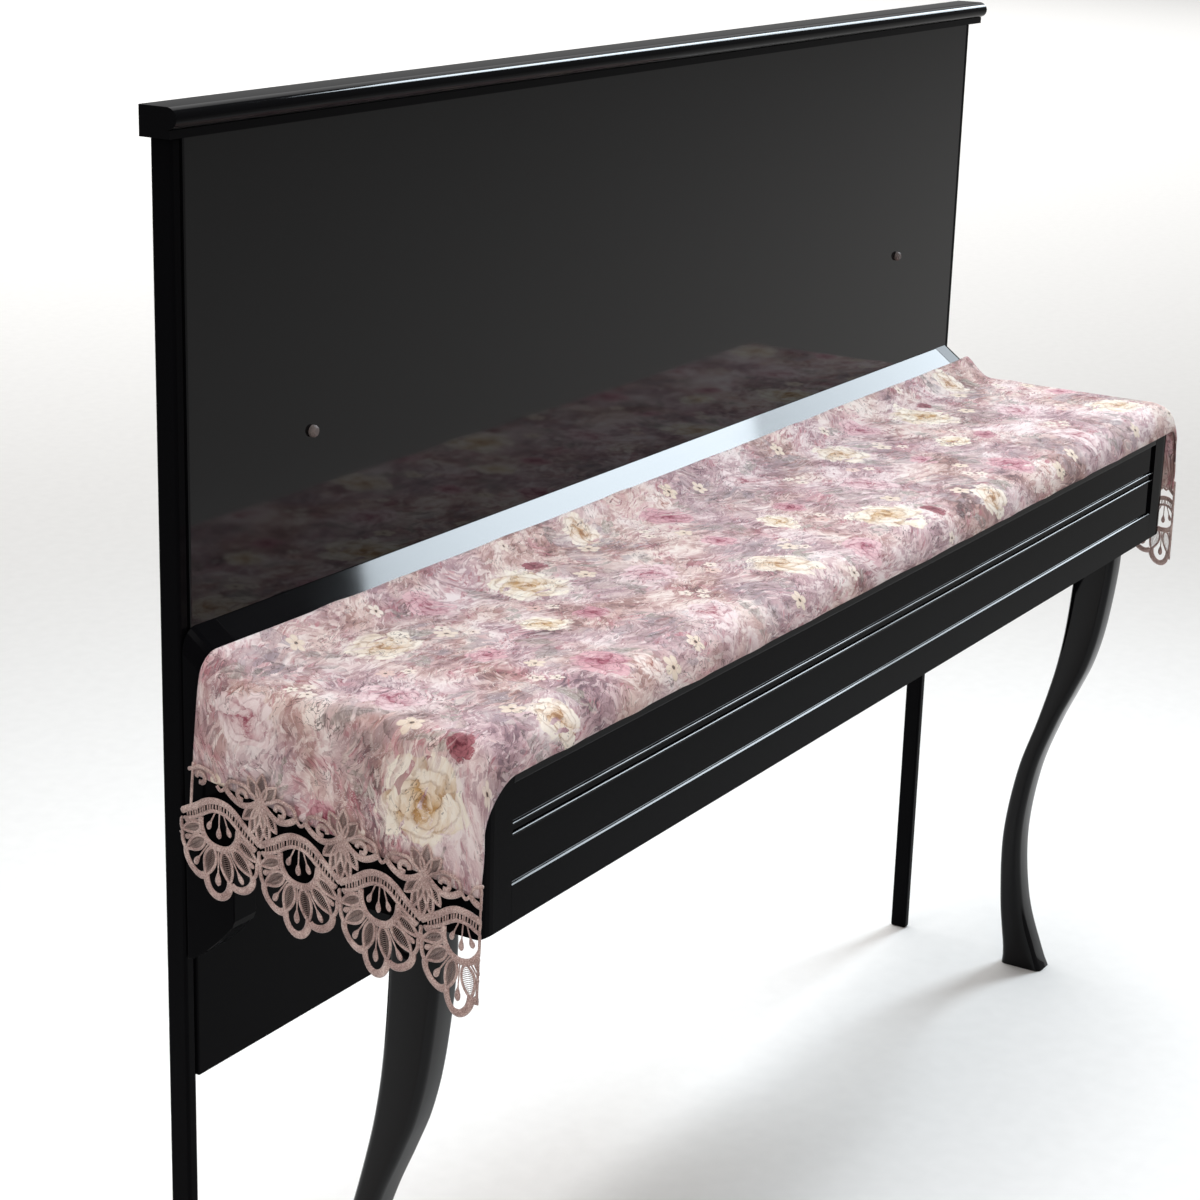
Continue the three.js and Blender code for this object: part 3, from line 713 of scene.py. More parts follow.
    def blossoms(self, finish: Finish, under: Link) -> Link:
        """Paints small open flowers with a dark eye.

        Args:
            finish: the material in the making.
            under: the colour under them.

        Returns:
            The colour with the blossoms on it.
        """
        place, tone, raw = self.own_place(finish, Layer.BLOSSOM, 0.3)
        x, y, _ = finish.parts(place)
        radius, angle = self.polar(x, y)
        lobes = abs((angle * 2.5 + tone * 9).sin())
        share = radius / (0.55 + 0.42 * lobes)
        colour = finish.ramp(tone, self.blossom)
        colour = finish.mix(0.3 * share.step(0.55, 0.15), colour, ink(self.blossom_throat))
        colour = finish.mix(0.5 * share.step(0.84, 1.0), colour, ink(self.blossom_rim))
        colour = finish.mix(0.3 * lobes.step(0.35, 0.0), colour, ink(self.blossom_fold))
        colour = finish.mix(0.9 * radius.step(0.2, 0.12), colour, ink(self.blossom_eye))
        cover = share.step(1.02, 0.9) * finish.mottle(raw, 3, 2).step(0.24, 0.34)
        return finish.mix(cover, under, colour)

    def leaves(self, finish: Finish, under: Link, dabs: Sequence[Dab]) -> Link:
        """Paints grey leaves with a rib and side veins.

        Args:
            finish: the material in the making.
            under: the colour under them.
            dabs: random numbers and edges of the strokes.

        Returns:
            The colour with the leaves on it.
        """
        _, (_, mid_kind, _), (small, _, _) = dabs
        place, tone, raw = self.own_place(finish, Layer.LEAF, 0.34)
        x, y, _ = finish.parts(place)
        width = (1 - x * x).math("MAXIMUM", 0.0) * (0.42 - 0.1 * x)
        share = abs(y) / (width + 0.001)
        colour = finish.mix(0.5 * small, finish.ramp(tone, self.leaf), ink(self.leaf_dab))
        veins = ((x - 0.9 * abs(y)) * 19).sin().step(0.55, 1.0)
        colour = finish.mix(0.3 * veins, colour, ink(self.leaf_vein))
        colour = finish.mix(0.4 * share.step(0.6, 1.0), colour, ink(self.leaf_rim))
        colour = finish.mix(0.65 * abs(y).step(0.05, 0.02), colour, ink(self.leaf_rib))
        faded = finish.mottle(raw, 2.2, 3, 0.5).step(0.36, 0.56) * mid_kind.step(0.2, 0.28)
        return finish.mix(0.7 * share.step(1.0, 0.86) * faded, under, colour)

    def sketched(self, finish: Finish, under: Link, dabs: Sequence[Dab]) -> Link:
        """Draws large faint flowers in line and wash.

        Args:
            finish: the material in the making.
            under: the colour under them.
            dabs: random numbers and edges of the strokes.

        Returns:
            The colour with the drawn flowers on it.
        """
        (big, _, _), (mid, mid_kind, _), (small, _, _) = dabs
        place, tone, raw = self.own_place(finish, Layer.SKETCH, 0.5)
        light = finish.ramp(0.55 * tone + 0.45 * big, self.wash)
        shade = finish.mix(0.5, light, ink(self.wash_shade))
        faded = finish.mottle(raw, 1.6, 3, 0.6).step(0.36, 0.6)
        cover = 0.7 * faded * mid_kind.step(0.16, 0.24)
        broken = finish.mottle(raw, 4.5, 3).step(0.36, 0.5)
        dab = 0.5 * (mid - 0.5) + 0.3 * (small - 0.5)
        inks = Inks(light, shade, ink(self.line), dab, cover, broken)
        return self.petals(finish, under, place, SKETCH_RINGS, inks)

    def line_work(
        self, finish: Finish, flowing: Link, ragged: Link, under: Link, dabs: Sequence[Dab]
    ) -> Link:
        """Scratches fine dark and pale lines and dashes over the whole print.

        Args:
            finish: the material in the making.
            flowing: place on the cloth, pushed about in broad sweeps.
            ragged: the same place, pushed about finely too.
            under: the colour under them.
            dabs: random numbers and edges of the strokes.

        Returns:
            The colour with the lines on it.
        """
        _, (mid, mid_kind, mid_edge), (small, small_kind, small_edge) = dabs
        patch = finish.mottle(flowing, 30, 2, 0.4)
        contour = finish.mottle(ragged, 78, 3, 1.2)
        dark = abs(contour - 0.5).step(0.016, 0.005) * patch.step(0.44, 0.6)
        second = abs(finish.mottle(ragged, 130, 3, 1.6) - 0.52).step(0.02, 0.006) * patch.step(0.54, 0.4)
        dashes = small_edge.step(0.3, 0.16) * small_kind.step(0.5, 0.49) * small_kind.step(0.41, 0.42)
        lights = mid_edge.step(0.34, 0.18) * mid_kind.step(0.36, 0.35) * mid_kind.step(0.26, 0.27)
        colour = finish.mix(0.72 * dark, under, ink(self.line))
        colour = finish.mix(0.6 * second, colour, ink(self.pale))
        dark_ink = finish.mix(mid, ink(self.line), ink(self.dark_dash))
        colour = finish.mix(0.65 * dashes * patch.step(0.4, 0.55), colour, dark_ink)
        pale_ink = finish.mix(small, ink(self.pale), ink(self.pale_dash))
        return finish.mix(0.75 * lights * patch.step(0.62, 0.42), colour, pale_ink)

    def weave(self, finish: Finish, flat: Link) -> Value:
        """Weaves plain threads.

        Args:
            finish: the material in the making.
            flat: place on the flat cloth.

        Returns:
            The height of the threads, from 0 to 1.
        """
        along, across, _ = finish.parts(finish.shifted(flat, 300, 0.0004))
        warp = (along * (math.tau / self.thread)).sin()
        weft = (across * (math.tau / self.thread)).sin()
        return 0.5 + 0.5 * warp * weft


@dataclass(frozen=True)
class LaceThread:
    """Satin-stitched lace thread in dusty taupe."""

    name: str = "taupe_lace"
    stitch: float = 0.0011
    tones: Stops = ((0.32, "#735b58"), (0.5, "#b0958f"), (0.68, "#decbc3"))

    def build(self) -> bpy.types.Material:
        """Makes the thread's material.

        Returns:
            The material.
        """
        constants = {"Sheen Weight": 0.3, "Sheen Roughness": 0.4, "Specular IOR Level": 0.3}
        finish = Finish(self.name, constants)
        place = finish.place()
        fine = finish.mottle(place, 1 / self.stitch, 2, 0.4)
        tone = 0.4 * finish.mottle(place, 55, 3) + 0.6 * fine
        finish.surface(finish.ramp(tone, self.tones), 0.5 + 0.25 * fine)
        finish.bump(fine, depth=0.0005, strength=0.8)
        return finish.material


@dataclass(frozen=True)
class BlackLacquer:
    """Polished black lacquer with a faint ripple and some handling haze."""

    name: str = "black_lacquer"
    shine: float = 0.02
    tint: str = "#09090b"
    speck: str = "#3a3a3d"
    haze: float = 0.05

    def build(self) -> bpy.types.Material:
        """Makes the lacquer's material.

        Returns:
            The material.
        """
        finish = Finish(self.name, {"Specular IOR Level": self.shine})
        place = finish.place()
        cloud = finish.mottle(place, 9, 4)
        dust = finish.mottle(place, 900, 2).step(0.68, 0.8)
        colour = finish.mix(0.1 * dust, ink(self.tint), ink(self.speck))
        finish.surface(colour, 0.03 + self.haze * cloud + 0.1 * dust)
        finish.bump(finish.mottle(place, 22, 1), depth=0.0006, strength=0.06)
        return finish.material


@dataclass(frozen=True)
class BlackRubber:
    """Matt grey rubber of the lid's buffers."""

    name: str = "black_rubber"
    tones: Stops = ((0.3, "#57514f"), (0.7, "#7c7472"))

    def build(self) -> bpy.types.Material:
        """Makes the rubber's material.

        Returns:
            The material.
        """
        finish = Finish(self.name, {"Specular IOR Level": 0.3})
        grain = finish.mottle(finish.place(), 1500, 3)
        finish.surface(finish.ramp(grain, self.tones), 0.5 + 0.25 * grain)
        finish.bump(grain, depth=0.0002, strength=0.5)
        return finish.material


# Drape of the cover


@dataclass(frozen=True)
class LidRun:
    """Run of the cloth over the lid in millimetres, by the distance from its back edge.

    y is measured back from the front of the keyboard case and z up from the floor.
    """

    lid_top: float = 770
    lid_flat: float = 210
    nose_radius: float = 26
    back_fillet: float = 31.6
    back_slope: float = math.radians(36)
    lift: float = 1.6
    back_run: float = 27

    def over(self, across: Points) -> tuple[Points, Points]:
        """Places the cloth's middle plane on the lid.

        Args:
            across: distances from the cloth's back edge.

        Returns:
            y and z of each.
        """
        nose = self.nose_radius + self.lift
        fillet = self.back_fillet - self.lift
        fillet_end = self.back_run + fillet * self.back_slope
        flat_end = fillet_end + self.lid_flat
        back_y = self.nose_radius + self.lid_flat
        bend = np.clip(self.back_slope - (across - self.back_run) / fillet, 0, self.back_slope)
        run = np.maximum(0, self.back_run - across)
        turn = np.clip((across - flat_end) / nose, 0, math.pi / 2)
        drop = np.maximum(0, across - flat_end - nose * math.pi / 2)
        flat = np.clip(across - fillet_end, 0, self.lid_flat)
        y = back_y + fillet * np.sin(bend) + run * math.cos(self.back_slope) - flat - nose * np.sin(turn)
        z = self.lid_top + self.lift + fillet * (1 - np.cos(bend)) + run * math.sin(self.back_slope)
        return y, z - nose * (1 - np.cos(turn)) - drop


@dataclass(frozen=True)
class TailRow:
    """Where one lengthwise thread of a hanging end bends and ends, in millimetres.

    across is the distance from the cloth's back edge, inset where the bend starts, in from the case's
    end, reach how far the bend carries the cloth past the end, and out, y, z the foot of the lace.
    """

    across: float
    inset: float
    reach: float
    out: float
    y: float
    z: float


@dataclass(frozen=True)
class Fold:
    """A soft fold of a hanging end: its place across the cloth, its width and its rise at the foot."""

    across: float
    width: float
    rise: float


@dataclass(frozen=True)
class Tail:
    """One hanging end of the cover."""

    side: int
    rows: tuple[TailRow, ...]
    folds: tuple[Fold, ...]
    lid: LidRun = LidRun()

    def column(self, key: str, at: Points) -> Points:
        """Reads a column of the rows, smoothly between them.

        Args:
            key: the column.
            at: distances across the cloth.

        Returns:
            The column's value at each.
        """
        places = np.array([row.across for row in self.rows])
        values = np.array([getattr(row, key) for row in self.rows])
        before = np.maximum(np.arange(len(places)) - 1, 0)
        after = np.minimum(np.arange(len(places)) + 1, len(places) - 1)
        slopes = (values[after] - values[before]) / (places[after] - places[before])
        k = np.searchsorted(places[1:-1], at, side="left")
        span = places[k + 1] - places[k]
        t = np.clip((at - places[k]) / span, 0, 1)
        rest = 1 - t
        ends = rest**2 * (1 + 2 * t) * values[k] + t**2 * (3 - 2 * t) * values[k + 1]
        return ends + span * (rest**2 * t * slopes[k] - t**2 * rest * slopes[k + 1])

    def length(self, across: Points) -> Points:
        """Measures each thread's fall, from its bend to the foot of the lace.

        Args:
            across: distances across the cloth.

        Returns:
            The length at each.
        """
        y, z = self.lid.over(across)
        top = z - self.column("inset", across) - self.column("reach", across)
        out = self.column("out", across) - self.column("reach", across)
        return np.sqrt(out**2 + (self.column("y", across) - y) ** 2 + (self.column("z", across) - top) ** 2)

    def bend(self, across: Points, turn: Points) -> Points:
        """Places points on the bend over the case's end.

        Args:
            across: distances across the cloth.
            turn: the angle turned from the lid.

        Returns:
            The points in the case's millimetres.
        """
        y, z = self.lid.over(across)
        inset = self.column("inset", across)
        radius = inset + self.column("reach", across)
        x = CASE_HALF - inset + radius * np.sin(turn)
        return np.stack([self.side * x, y, z - radius * (1 - np.cos(turn))], axis=-1)

    def fall(self, across: Points, share: Points) -> Points:
        """Places points on the fall.

        Args:
            across: distances across the cloth.
            share: the share of the way from the bend to the foot.

        Returns:
            The points in the case's millimetres.
        """
        start_y, start_z = self.lid.over(across)
        reach = self.column("reach", across)
        top = start_z - self.column("inset", across) - reach
        swing = 1 - (1 - share) ** 2
        waves = sum(f.rise * share * np.exp(-(((across - f.across) / f.width) ** 2)) for f in self.folds)
        out = CASE_HALF + waves + reach + (self.column("out", across) - reach) * share
        y = start_y + (self.column("y", across) - start_y) * swing
        z = top + (self.column("z", across) - top) * share
        return np.stack([self.side * out, y, z], axis=-1)

    def on_lace(self, across: Points, height: Points, lift: Points) -> Points:
        """Places points of the lace.

        Args:
            across: distances across the cloth.
            height: heights above the lace's foot.
            lift: distances out from the cloth.

        Returns:
            The points in the case's millimetres.
        """
        step = 0.5

        def face(a: Points, h: Points) -> Points:
            """A place on the fall by height."""
            return self.fall(a, 1 - h / self.length(a))

        along = face(across + step, height) - face(across - step, height)
        up = face(across, height + step) - face(across, height - step)
        out = np.cross(along, up)
        out *= -self.side / np.linalg.norm(out, axis=-1, keepdims=True)
        return face(across, height) + out * lift[..., None]


TAIL_LEFT = Tail(
    side=-1,
    rows=(
        TailRow(across=-9, inset=12, reach=5, out=4.5, y=299, z=590),
        TailRow(across=75, inset=12, reach=5, out=6, y=215.5, z=578),
        TailRow(across=159, inset=12, reach=5, out=9, y=131.5, z=567),
        TailRow(across=243, inset=12, reach=5, out=15, y=48, z=558),
        TailRow(across=272, inset=13, reach=5, out=19, y=19.5, z=554.5),
        TailRow(across=285, inset=16, reach=5, out=20.5, y=7.2, z=552.5),
        TailRow(across=296, inset=24, reach=5, out=18.5, y=-1.6, z=551),
        TailRow(across=304, inset=39, reach=5, out=13.5, y=-5.8, z=550),
    ),
    folds=(Fold(22, 20, 3.5), Fold(112, 26, 2.5), Fold(206, 30, 4)),
)
TAIL_RIGHT = Tail(
    side=1,
    rows=(
        TailRow(across=-9, inset=10, reach=12, out=10, y=297, z=578),
        TailRow(across=75, inset=10, reach=12, out=11, y=214, z=572),
        TailRow(across=159, inset=10, reach=12, out=13, y=130, z=567),
        TailRow(across=243, inset=10, reach=13, out=17, y=46.5, z=563),
        TailRow(across=272, inset=9, reach=16, out=20, y=18, z=561.5),
        TailRow(across=285, inset=7, reach=19, out=20.5, y=5.4, z=561),
        TailRow(across=296, inset=4, reach=21, out=18.5, y=-3.4, z=560),
        TailRow(across=304, inset=2, reach=20, out=14, y=-8, z=559),
    ),
    folds=(Fold(40, 22, 3), Fold(140, 30, 3.5), Fold(228, 26, 2)),
)


def in_frame(points: Points) -> Points:
    """Moves points from the case's own millimetres into the frame's metres."""
    return points * MM + np.array([0, CASE_FRONT, 0])


def smooth(places: Points, step: float = 1.8) -> Points:
    """Runs a smooth line through places, with a point about every step.

    Args:
        places: the places.
        step: the run between points.

    Returns:
        The points of the line.
    """
    ends = np.concatenate([2 * places[:1] - places[1:2], places, 2 * places[-1:] - places[-2:-1]])
    line = []
    for k in range(len(places) - 1):
        before, first, last, after = ends[k : k + 4]
        count = max(2, math.ceil(np.linalg.norm(last - first) / step))
        t = np.linspace(0, 1, count, endpoint=False)[:, None]
        pull, away = (last - before) / 2, (after - first) / 2
        bend = (1 + 2 * t) * (1 - t) ** 2 * first + t**2 * (3 - 2 * t) * last
        line.append(bend + t * (1 - t) ** 2 * pull - t**2 * (1 - t) * away)
    return np.concatenate([*line, places[-1:]])


def finished(form: bmesh.types.BMesh, name: str) -> bpy.types.Mesh:
    """Turns a form into a mesh and frees it.

    Args:
        form: the form.
        name: the mesh's name.

    Returns:
        The mesh.
    """
    mesh = bpy.data.meshes.new(name)
    form.to_mesh(mesh)
    form.free()
    return mesh


def put(name: str, data: bpy.types.ID) -> bpy.types.Object:
    """Puts a mesh, curve, light or camera in the scene.

    Args:
        name: the object's name.
        data: what it shows.

    Returns:
        The object.
    """
    made = bpy.data.objects.new(name, data)
    bpy.context.scene.collection.objects.link(made)
    return made


def grid_mesh(name: str, places: Points) -> tuple[bpy.types.Mesh, Points, Points]:
    """Makes a mesh of four-sided faces over rows and columns of places.

    Args:
        name: the mesh's name.
        places: the places, by row and column.

    Returns:
        The mesh, and the row and column of each of its points.
    """
    rows, columns = places.shape[:2]
    form = bmesh.new()
    bmesh.ops.create_grid(form, x_segments=rows - 1, y_segments=columns - 1, size=1)
    mesh = finished(form, name)
    start = np.zeros(len(mesh.vertices) * 3)
    mesh.vertices.foreach_get("co", start)
    row = np.rint((start[0::3] + 1) / 2 * (rows - 1)).astype(int)
    column = np.rint((start[1::3] + 1) / 2 * (columns - 1)).astype(int)
    mesh.vertices.foreach_set("co", places[row, column].ravel())
    mesh.update()
    return mesh, row, column


def close_tube(mesh: bpy.types.Mesh) -> None:
    """Joins the two long edges of a rolled-up grid and fills its ends.

    Args:
        mesh: the grid, whose first and last columns lie on each other.
    """
    form = bmesh.new()
    form.from_mesh(mesh)
    bmesh.ops.remove_doubles(form, verts=form.verts, dist=1e-6)
    bmesh.ops.holes_fill(form, edges=[edge for edge in form.edges if edge.is_boundary])
    bmesh.ops.recalc_face_normals(form, faces=form.faces)
    form.to_mesh(mesh)
    form.free()


def round_edges(made: bpy.types.Object, width: float, segments: int) -> None:
    """Rounds the sharp edges of a piece so that they catch light.

    Args:
        made: the piece.
        width: the rounding in metres.
        segments: its steps.
    """
    weld = made.modifiers.new("weld", "WELD")
    weld.merge_threshold = 1e-5
    rounded = made.modifiers.new("rounded", "BEVEL")
    rounded.width = width
    rounded.segments = segments
    rounded.limit_method = "ANGLE"
    rounded.angle_limit = SHARP_EDGE


def piece(name: str, mesh: bpy.types.Mesh, finish: bpy.types.Material) -> bpy.types.Object:
    """Puts a mesh in the scene as a piece of the part.

    Args:
        name: the piece's name.
        mesh: its mesh, placed in the frame.
        finish: its material.

    Returns:
        The piece.
    """
    mesh.materials.clear()
    mesh.materials.append(finish)
    mesh.shade_smooth()
    made = put(name, mesh)
    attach(made, "root")
    LOG.info("piece %s: %d faces", name, len(mesh.polygons))
    return made


# Cloth


@dataclass(frozen=True)
class Crease:
    """A soft ridge on the cloth between two places on its flat cut, in millimetres."""

    start: tuple[float, float]
    end: tuple[float, float]
    width: float
    rise: float


@dataclass
class CoverCloth:
    """The printed cloth: over the lid, round both ends of the case and down to the lace."""

    finish: bpy.types.Material
    width: float = 304
    thickness: float = 1.2
    hem: float = 9
    hem_thickness: float = 2.0
    lace_overlap: float = 101
    columns: int = 97
    lid_rows: int = 372
    bend_rows: int = 13
    fall_rows: int = 28
    ripple: float = 0.5
    ripple_count: int = 9
    ripple_runs: tuple[float, float] = (120, 160)
    edge_lift: float = 2.6
    edge_reach: float = 16
    edge_waves: int = 4
    edge_runs: tuple[float, float] = (70, 260)
    end_calm: float = 30
    seed: int = 11
    creases: tuple[Crease, ...] = (
        Crease((-716, 262), (-842, 292), 7, 2.2),
        Crease((-735, 120), (-800, 96), 9, 1.2),
        Crease((-640, 18), (-560, 60), 8, 0.9),
        Crease((-420, 12), (-330, 70), 9, 0.8),
        Crease((-250, 230), (-120, 262), 12, 0.9),
        Crease((60, 30), (170, 90), 10, 0.8),
        Crease((240, 190), (330, 250), 11, 0.9),
        Crease((430, 20), (520, 88), 9, 0.9),
        Crease((600, 250), (716, 210), 10, 1.2),
        Crease((690, 120), (760, 60), 9, 1.3),
        Crease((724, 270), (800, 290), 6, 2.0),
    )
    flat: Points = field(init=False)

    def grid(self) -> tuple[Points, Points]:
        """Places the cloth's middle plane.

        Returns:
            The points in the case's millimetres, row by row from the left end, and each one's place on
            the flat cut, along and across.
        """
        across = np.linspace(0, self.width, self.columns)
        ends = []
        for tail in (TAIL_LEFT, TAIL_RIGHT):
            turns = np.linspace(0, math.pi / 2, self.bend_rows)[:, None]
            shares = np.linspace(0, 1, self.fall_rows)[1:, None]
            length = tail.length(across)
            visible = 1 - self.lace_overlap / length
            spread = np.broadcast_to(across, (self.bend_rows, self.columns))
            bend = tail.bend(spread, turns)
            fall = tail.fall(np.broadcast_to(across, (self.fall_rows - 1, self.columns)), shares * visible)
            inset = tail.column("inset", across)
            radius = inset + tail.column("reach", across)
            run = np.concatenate(
                [
                    CASE_HALF - inset + radius * turns,
                    CASE_HALF - inset + radius * math.pi / 2 + length * visible * shares,
                ]
            )
            ends.append((np.concatenate([bend, fall]), tail.side * run))
        (left, left_run), (right, right_run) = ends
        between = np.linspace(0, 1, self.lid_rows)[1:-1, None, None]
        lid = left[0] + (right[0] - left[0]) * between
        lid_run = left_run[0] + (right_run[0] - left_run[0]) * between[..., 0]
        points = np.concatenate([left[::-1], lid, right])
        along = np.concatenate([left_run[::-1], lid_run, right_run])
        flat = np.stack([along, np.broadcast_to(across, along.shape)], axis=-1)
        return points, flat

    def relief(self, flat: Points) -> Points:
        """Height of the creases and of a slow ripple over the flat cut.

        Args:
            flat: places on the flat cut.

        Returns:
            The height at each, in millimetres.
        """
        height = np.zeros(flat.shape[:-1])
        for crease in self.creases:
            start, end = np.array(crease.start), np.array(crease.end)
            way = end - start
            share = np.clip((flat - start) @ way / (way @ way), 0, 1)
            off = np.linalg.norm(flat - start - share[..., None] * way, axis=-1)
            taper = 0.35 + 0.65 * np.sin(math.pi * share)
            height += crease.rise * taper * np.exp(-((off / crease.width) ** 2))
        draws = np.random.default_rng(self.seed)
        for _ in range(self.ripple_count):
            wave = draws.uniform(-1, 1, 2) * math.tau / np.array(self.ripple_runs)
            height += self.ripple / 3 * (1 + np.sin(flat @ wave + draws.uniform(0, math.tau)))
        for edge in (flat[..., 1], self.width - flat[..., 1]):
            waves = np.zeros(flat.shape[:-1])
            for _ in range(self.edge_waves):
                run, start = draws.uniform(*self.edge_runs), draws.uniform(0, 6)
                waves += np.sin(flat[..., 0] * math.tau / run + start)
            rise = np.clip(waves / 3, 0, 1) ** 1.5
            height += self.edge_lift * rise * np.exp(-((edge / self.edge_reach) ** 2))
        from_end = np.minimum(flat[..., 0] - flat[0, :, 0], flat[-1, :, 0] - flat[..., 0])
        calm = np.clip(from_end / self.end_calm, 0, 1)
        return height * calm**2 * (3 - 2 * calm)

    def build(self) -> bpy.types.Object:
        """Makes the cloth.

        Returns:
            The cloth's piece.
        """
        points, flat = self.grid()
        rows, columns = flat.shape[:2]
        along = np.gradient(points, axis=0)
        across = np.gradient(points, axis=1)
        up = np.cross(across, along)
        up /= np.linalg.norm(up, axis=-1, keepdims=True)
        up *= np.sign(up[rows // 2, columns // 2, 2])
        placed = in_frame(points + up * self.relief(flat)[..., None])
        mesh, row, column = grid_mesh("cover_print", placed)
        self.flat = flat[row, column]
        if mesh.polygons[len(mesh.polygons) // 2].normal.z < 0:
            mesh.flip_normals()
        self.print_places(mesh)
        made = piece("cover_print", mesh, self.finish)
        self.thicken(made)
        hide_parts("cover_cloth")
        return made

    @staticmethod
    def flat_area(flat: Points) -> float:
        """Measures the flat cut.

        Args:
            flat: places on the flat cut, by row and column.

        Returns:
            Its area in square metres.
        """
        length = flat[-1, :, 0] - flat[0, :, 0]
        across = flat[0, :, 1]
        return float(np.sum((length[1:] + length[:-1]) / 2 * np.diff(across))) * MM**2

    def thicken(self, made: bpy.types.Object) -> None:
        """Gives the cloth its thickness, and more along its hems.

        Args:
            made: the cloth's piece.
        """
        edge = np.minimum(self.flat[:, 1], self.width - self.flat[:, 1])
        share = np.where(edge <= self.hem, 1.0, self.thickness / self.hem_thickness)
        group = made.vertex_groups.new(name="hem")
        for level in np.unique(share):
            group.add(np.flatnonzero(share == level).tolist(), float(level), "REPLACE")
        solid = made.modifiers.new("thickness", "SOLIDIFY")
        solid.thickness = self.hem_thickness * MM
        solid.offset = 0
        solid.vertex_group = "hem"

    def print_places(self, mesh: bpy.types.Mesh) -> None:
        """Writes where each point lies on the flat cut, and on the flower nearest to its face.

        Args:
            mesh: the cloth's mesh, of four-sided faces.
        """
        places = np.column_stack([self.flat * MM, np.zeros(len(self.flat))])
        mesh.attributes.new("flat", "FLOAT_VECTOR", "POINT").data.foreach_set("vector", places.ravel())
        corners = np.zeros(len(mesh.loops), int)
        mesh.loops.foreach_get("vertex_index", corners)
        quads = corners.reshape(-1, 4)
        middles = self.flat[quads].mean(axis=1)
        for layer, motifs in MOTIFS.items():
            table = self.laid_out(motifs)
            gap = middles[:, None, :] - table[None, :, :2]
            nearest = np.argmin((gap**2).sum(-1) / table[:, 2] ** 2, axis=1)
            chosen = table[np.repeat(nearest, 4)]
            offset = (self.flat[corners] - chosen[:, :2]) / chosen[:, 2:3]
            turn = np.radians(chosen[:, 3])
            x = offset[:, 0] * np.cos(turn) + offset[:, 1] * np.sin(turn)
            y = offset[:, 1] * np.cos(turn) - offset[:, 0] * np.sin(turn)
            own = np.column_stack([x, y / chosen[:, 5], chosen[:, 4]])
            mesh.attributes.new(layer.value, "FLOAT_VECTOR", "CORNER").data.foreach_set("vector", own.ravel())

    def laid_out(self, motifs: Sequence[Motif]) -> Points:
        """Lays a table of motifs out over the whole cut, each repeat dropped and turned a little.

        Args:
            motifs: the motifs of one repeat.

        Returns:
            Rows of along, across, size, turn, tone and squash.
        """
        rows = []
        for repeat in REPEATS:
            flipped = repeat % 2
            for motif in motifs:
                across = self.width - motif.across if flipped else motif.across
                turn = motif.turn + REPEAT_TURN * repeat
                along = repeat * REPEAT_LENGTH + motif.along
                rows.append((along, across, motif.size, turn, motif.tone, motif.squash))
        return np.array(rows)


# Lace


class Profile(Enum):
    """Section of a lace strand, by its height as a share of its width."""

    SATIN = 0.36
    CORD = 0.85


Place = tuple[float, float]


@dataclass(frozen=True)
class Strand:
    """A worked strand of the lace through some places, bowed to its right by rise.

    Places are in millimetres: from the middle of a scallop, and up from the lace's foot.
    """

    places: tuple[Place, ...]
    width: float
    profile: Profile = Profile.SATIN
    rise: float = 0


@dataclass(frozen=True)
class Leaf:
    """A leaf of the lace: a cord round a net of fine thread."""

    base: Place
    tip: Place
    width: float


@dataclass(frozen=True)
class Drop:
    """A small worked drop at the end of a stem."""

    start: Place
    end: Place
    width: float
    length: float


Worked = Strand | Leaf | Drop

# Worked once in the middle of each scallop
MIDDLE_WORK: tuple[Worked, ...] = (
    Strand(((-12, 19.5), (12, 19.5)), 6.2, rise=16.2),
    Strand(((-19.5, 68), (-18, 58), (-11, 49.2), (0, 46.4), (11, 49.2), (18, 58), (19.5, 68)), 5.6),
    Strand(((-42, 64.5), (-36, 68.5), (-25.5, 75.3), (-16.5, 82), (-8, 86.2), (0, 87.4)), 5.2),
    Strand(((42, 64.5), (36, 68.5), (25.5, 75.3), (16.5, 82), (8, 86.2), (0, 87.4)), 5.2),
    Drop((0, 79.5), (0, 55), 5.0, 10),
    Drop((0, 45), (0, 13), 5.4, 12),
    Strand(((-4, 101), (0, 97.8), (4, 101)), 2.6, Profile.CORD),
)
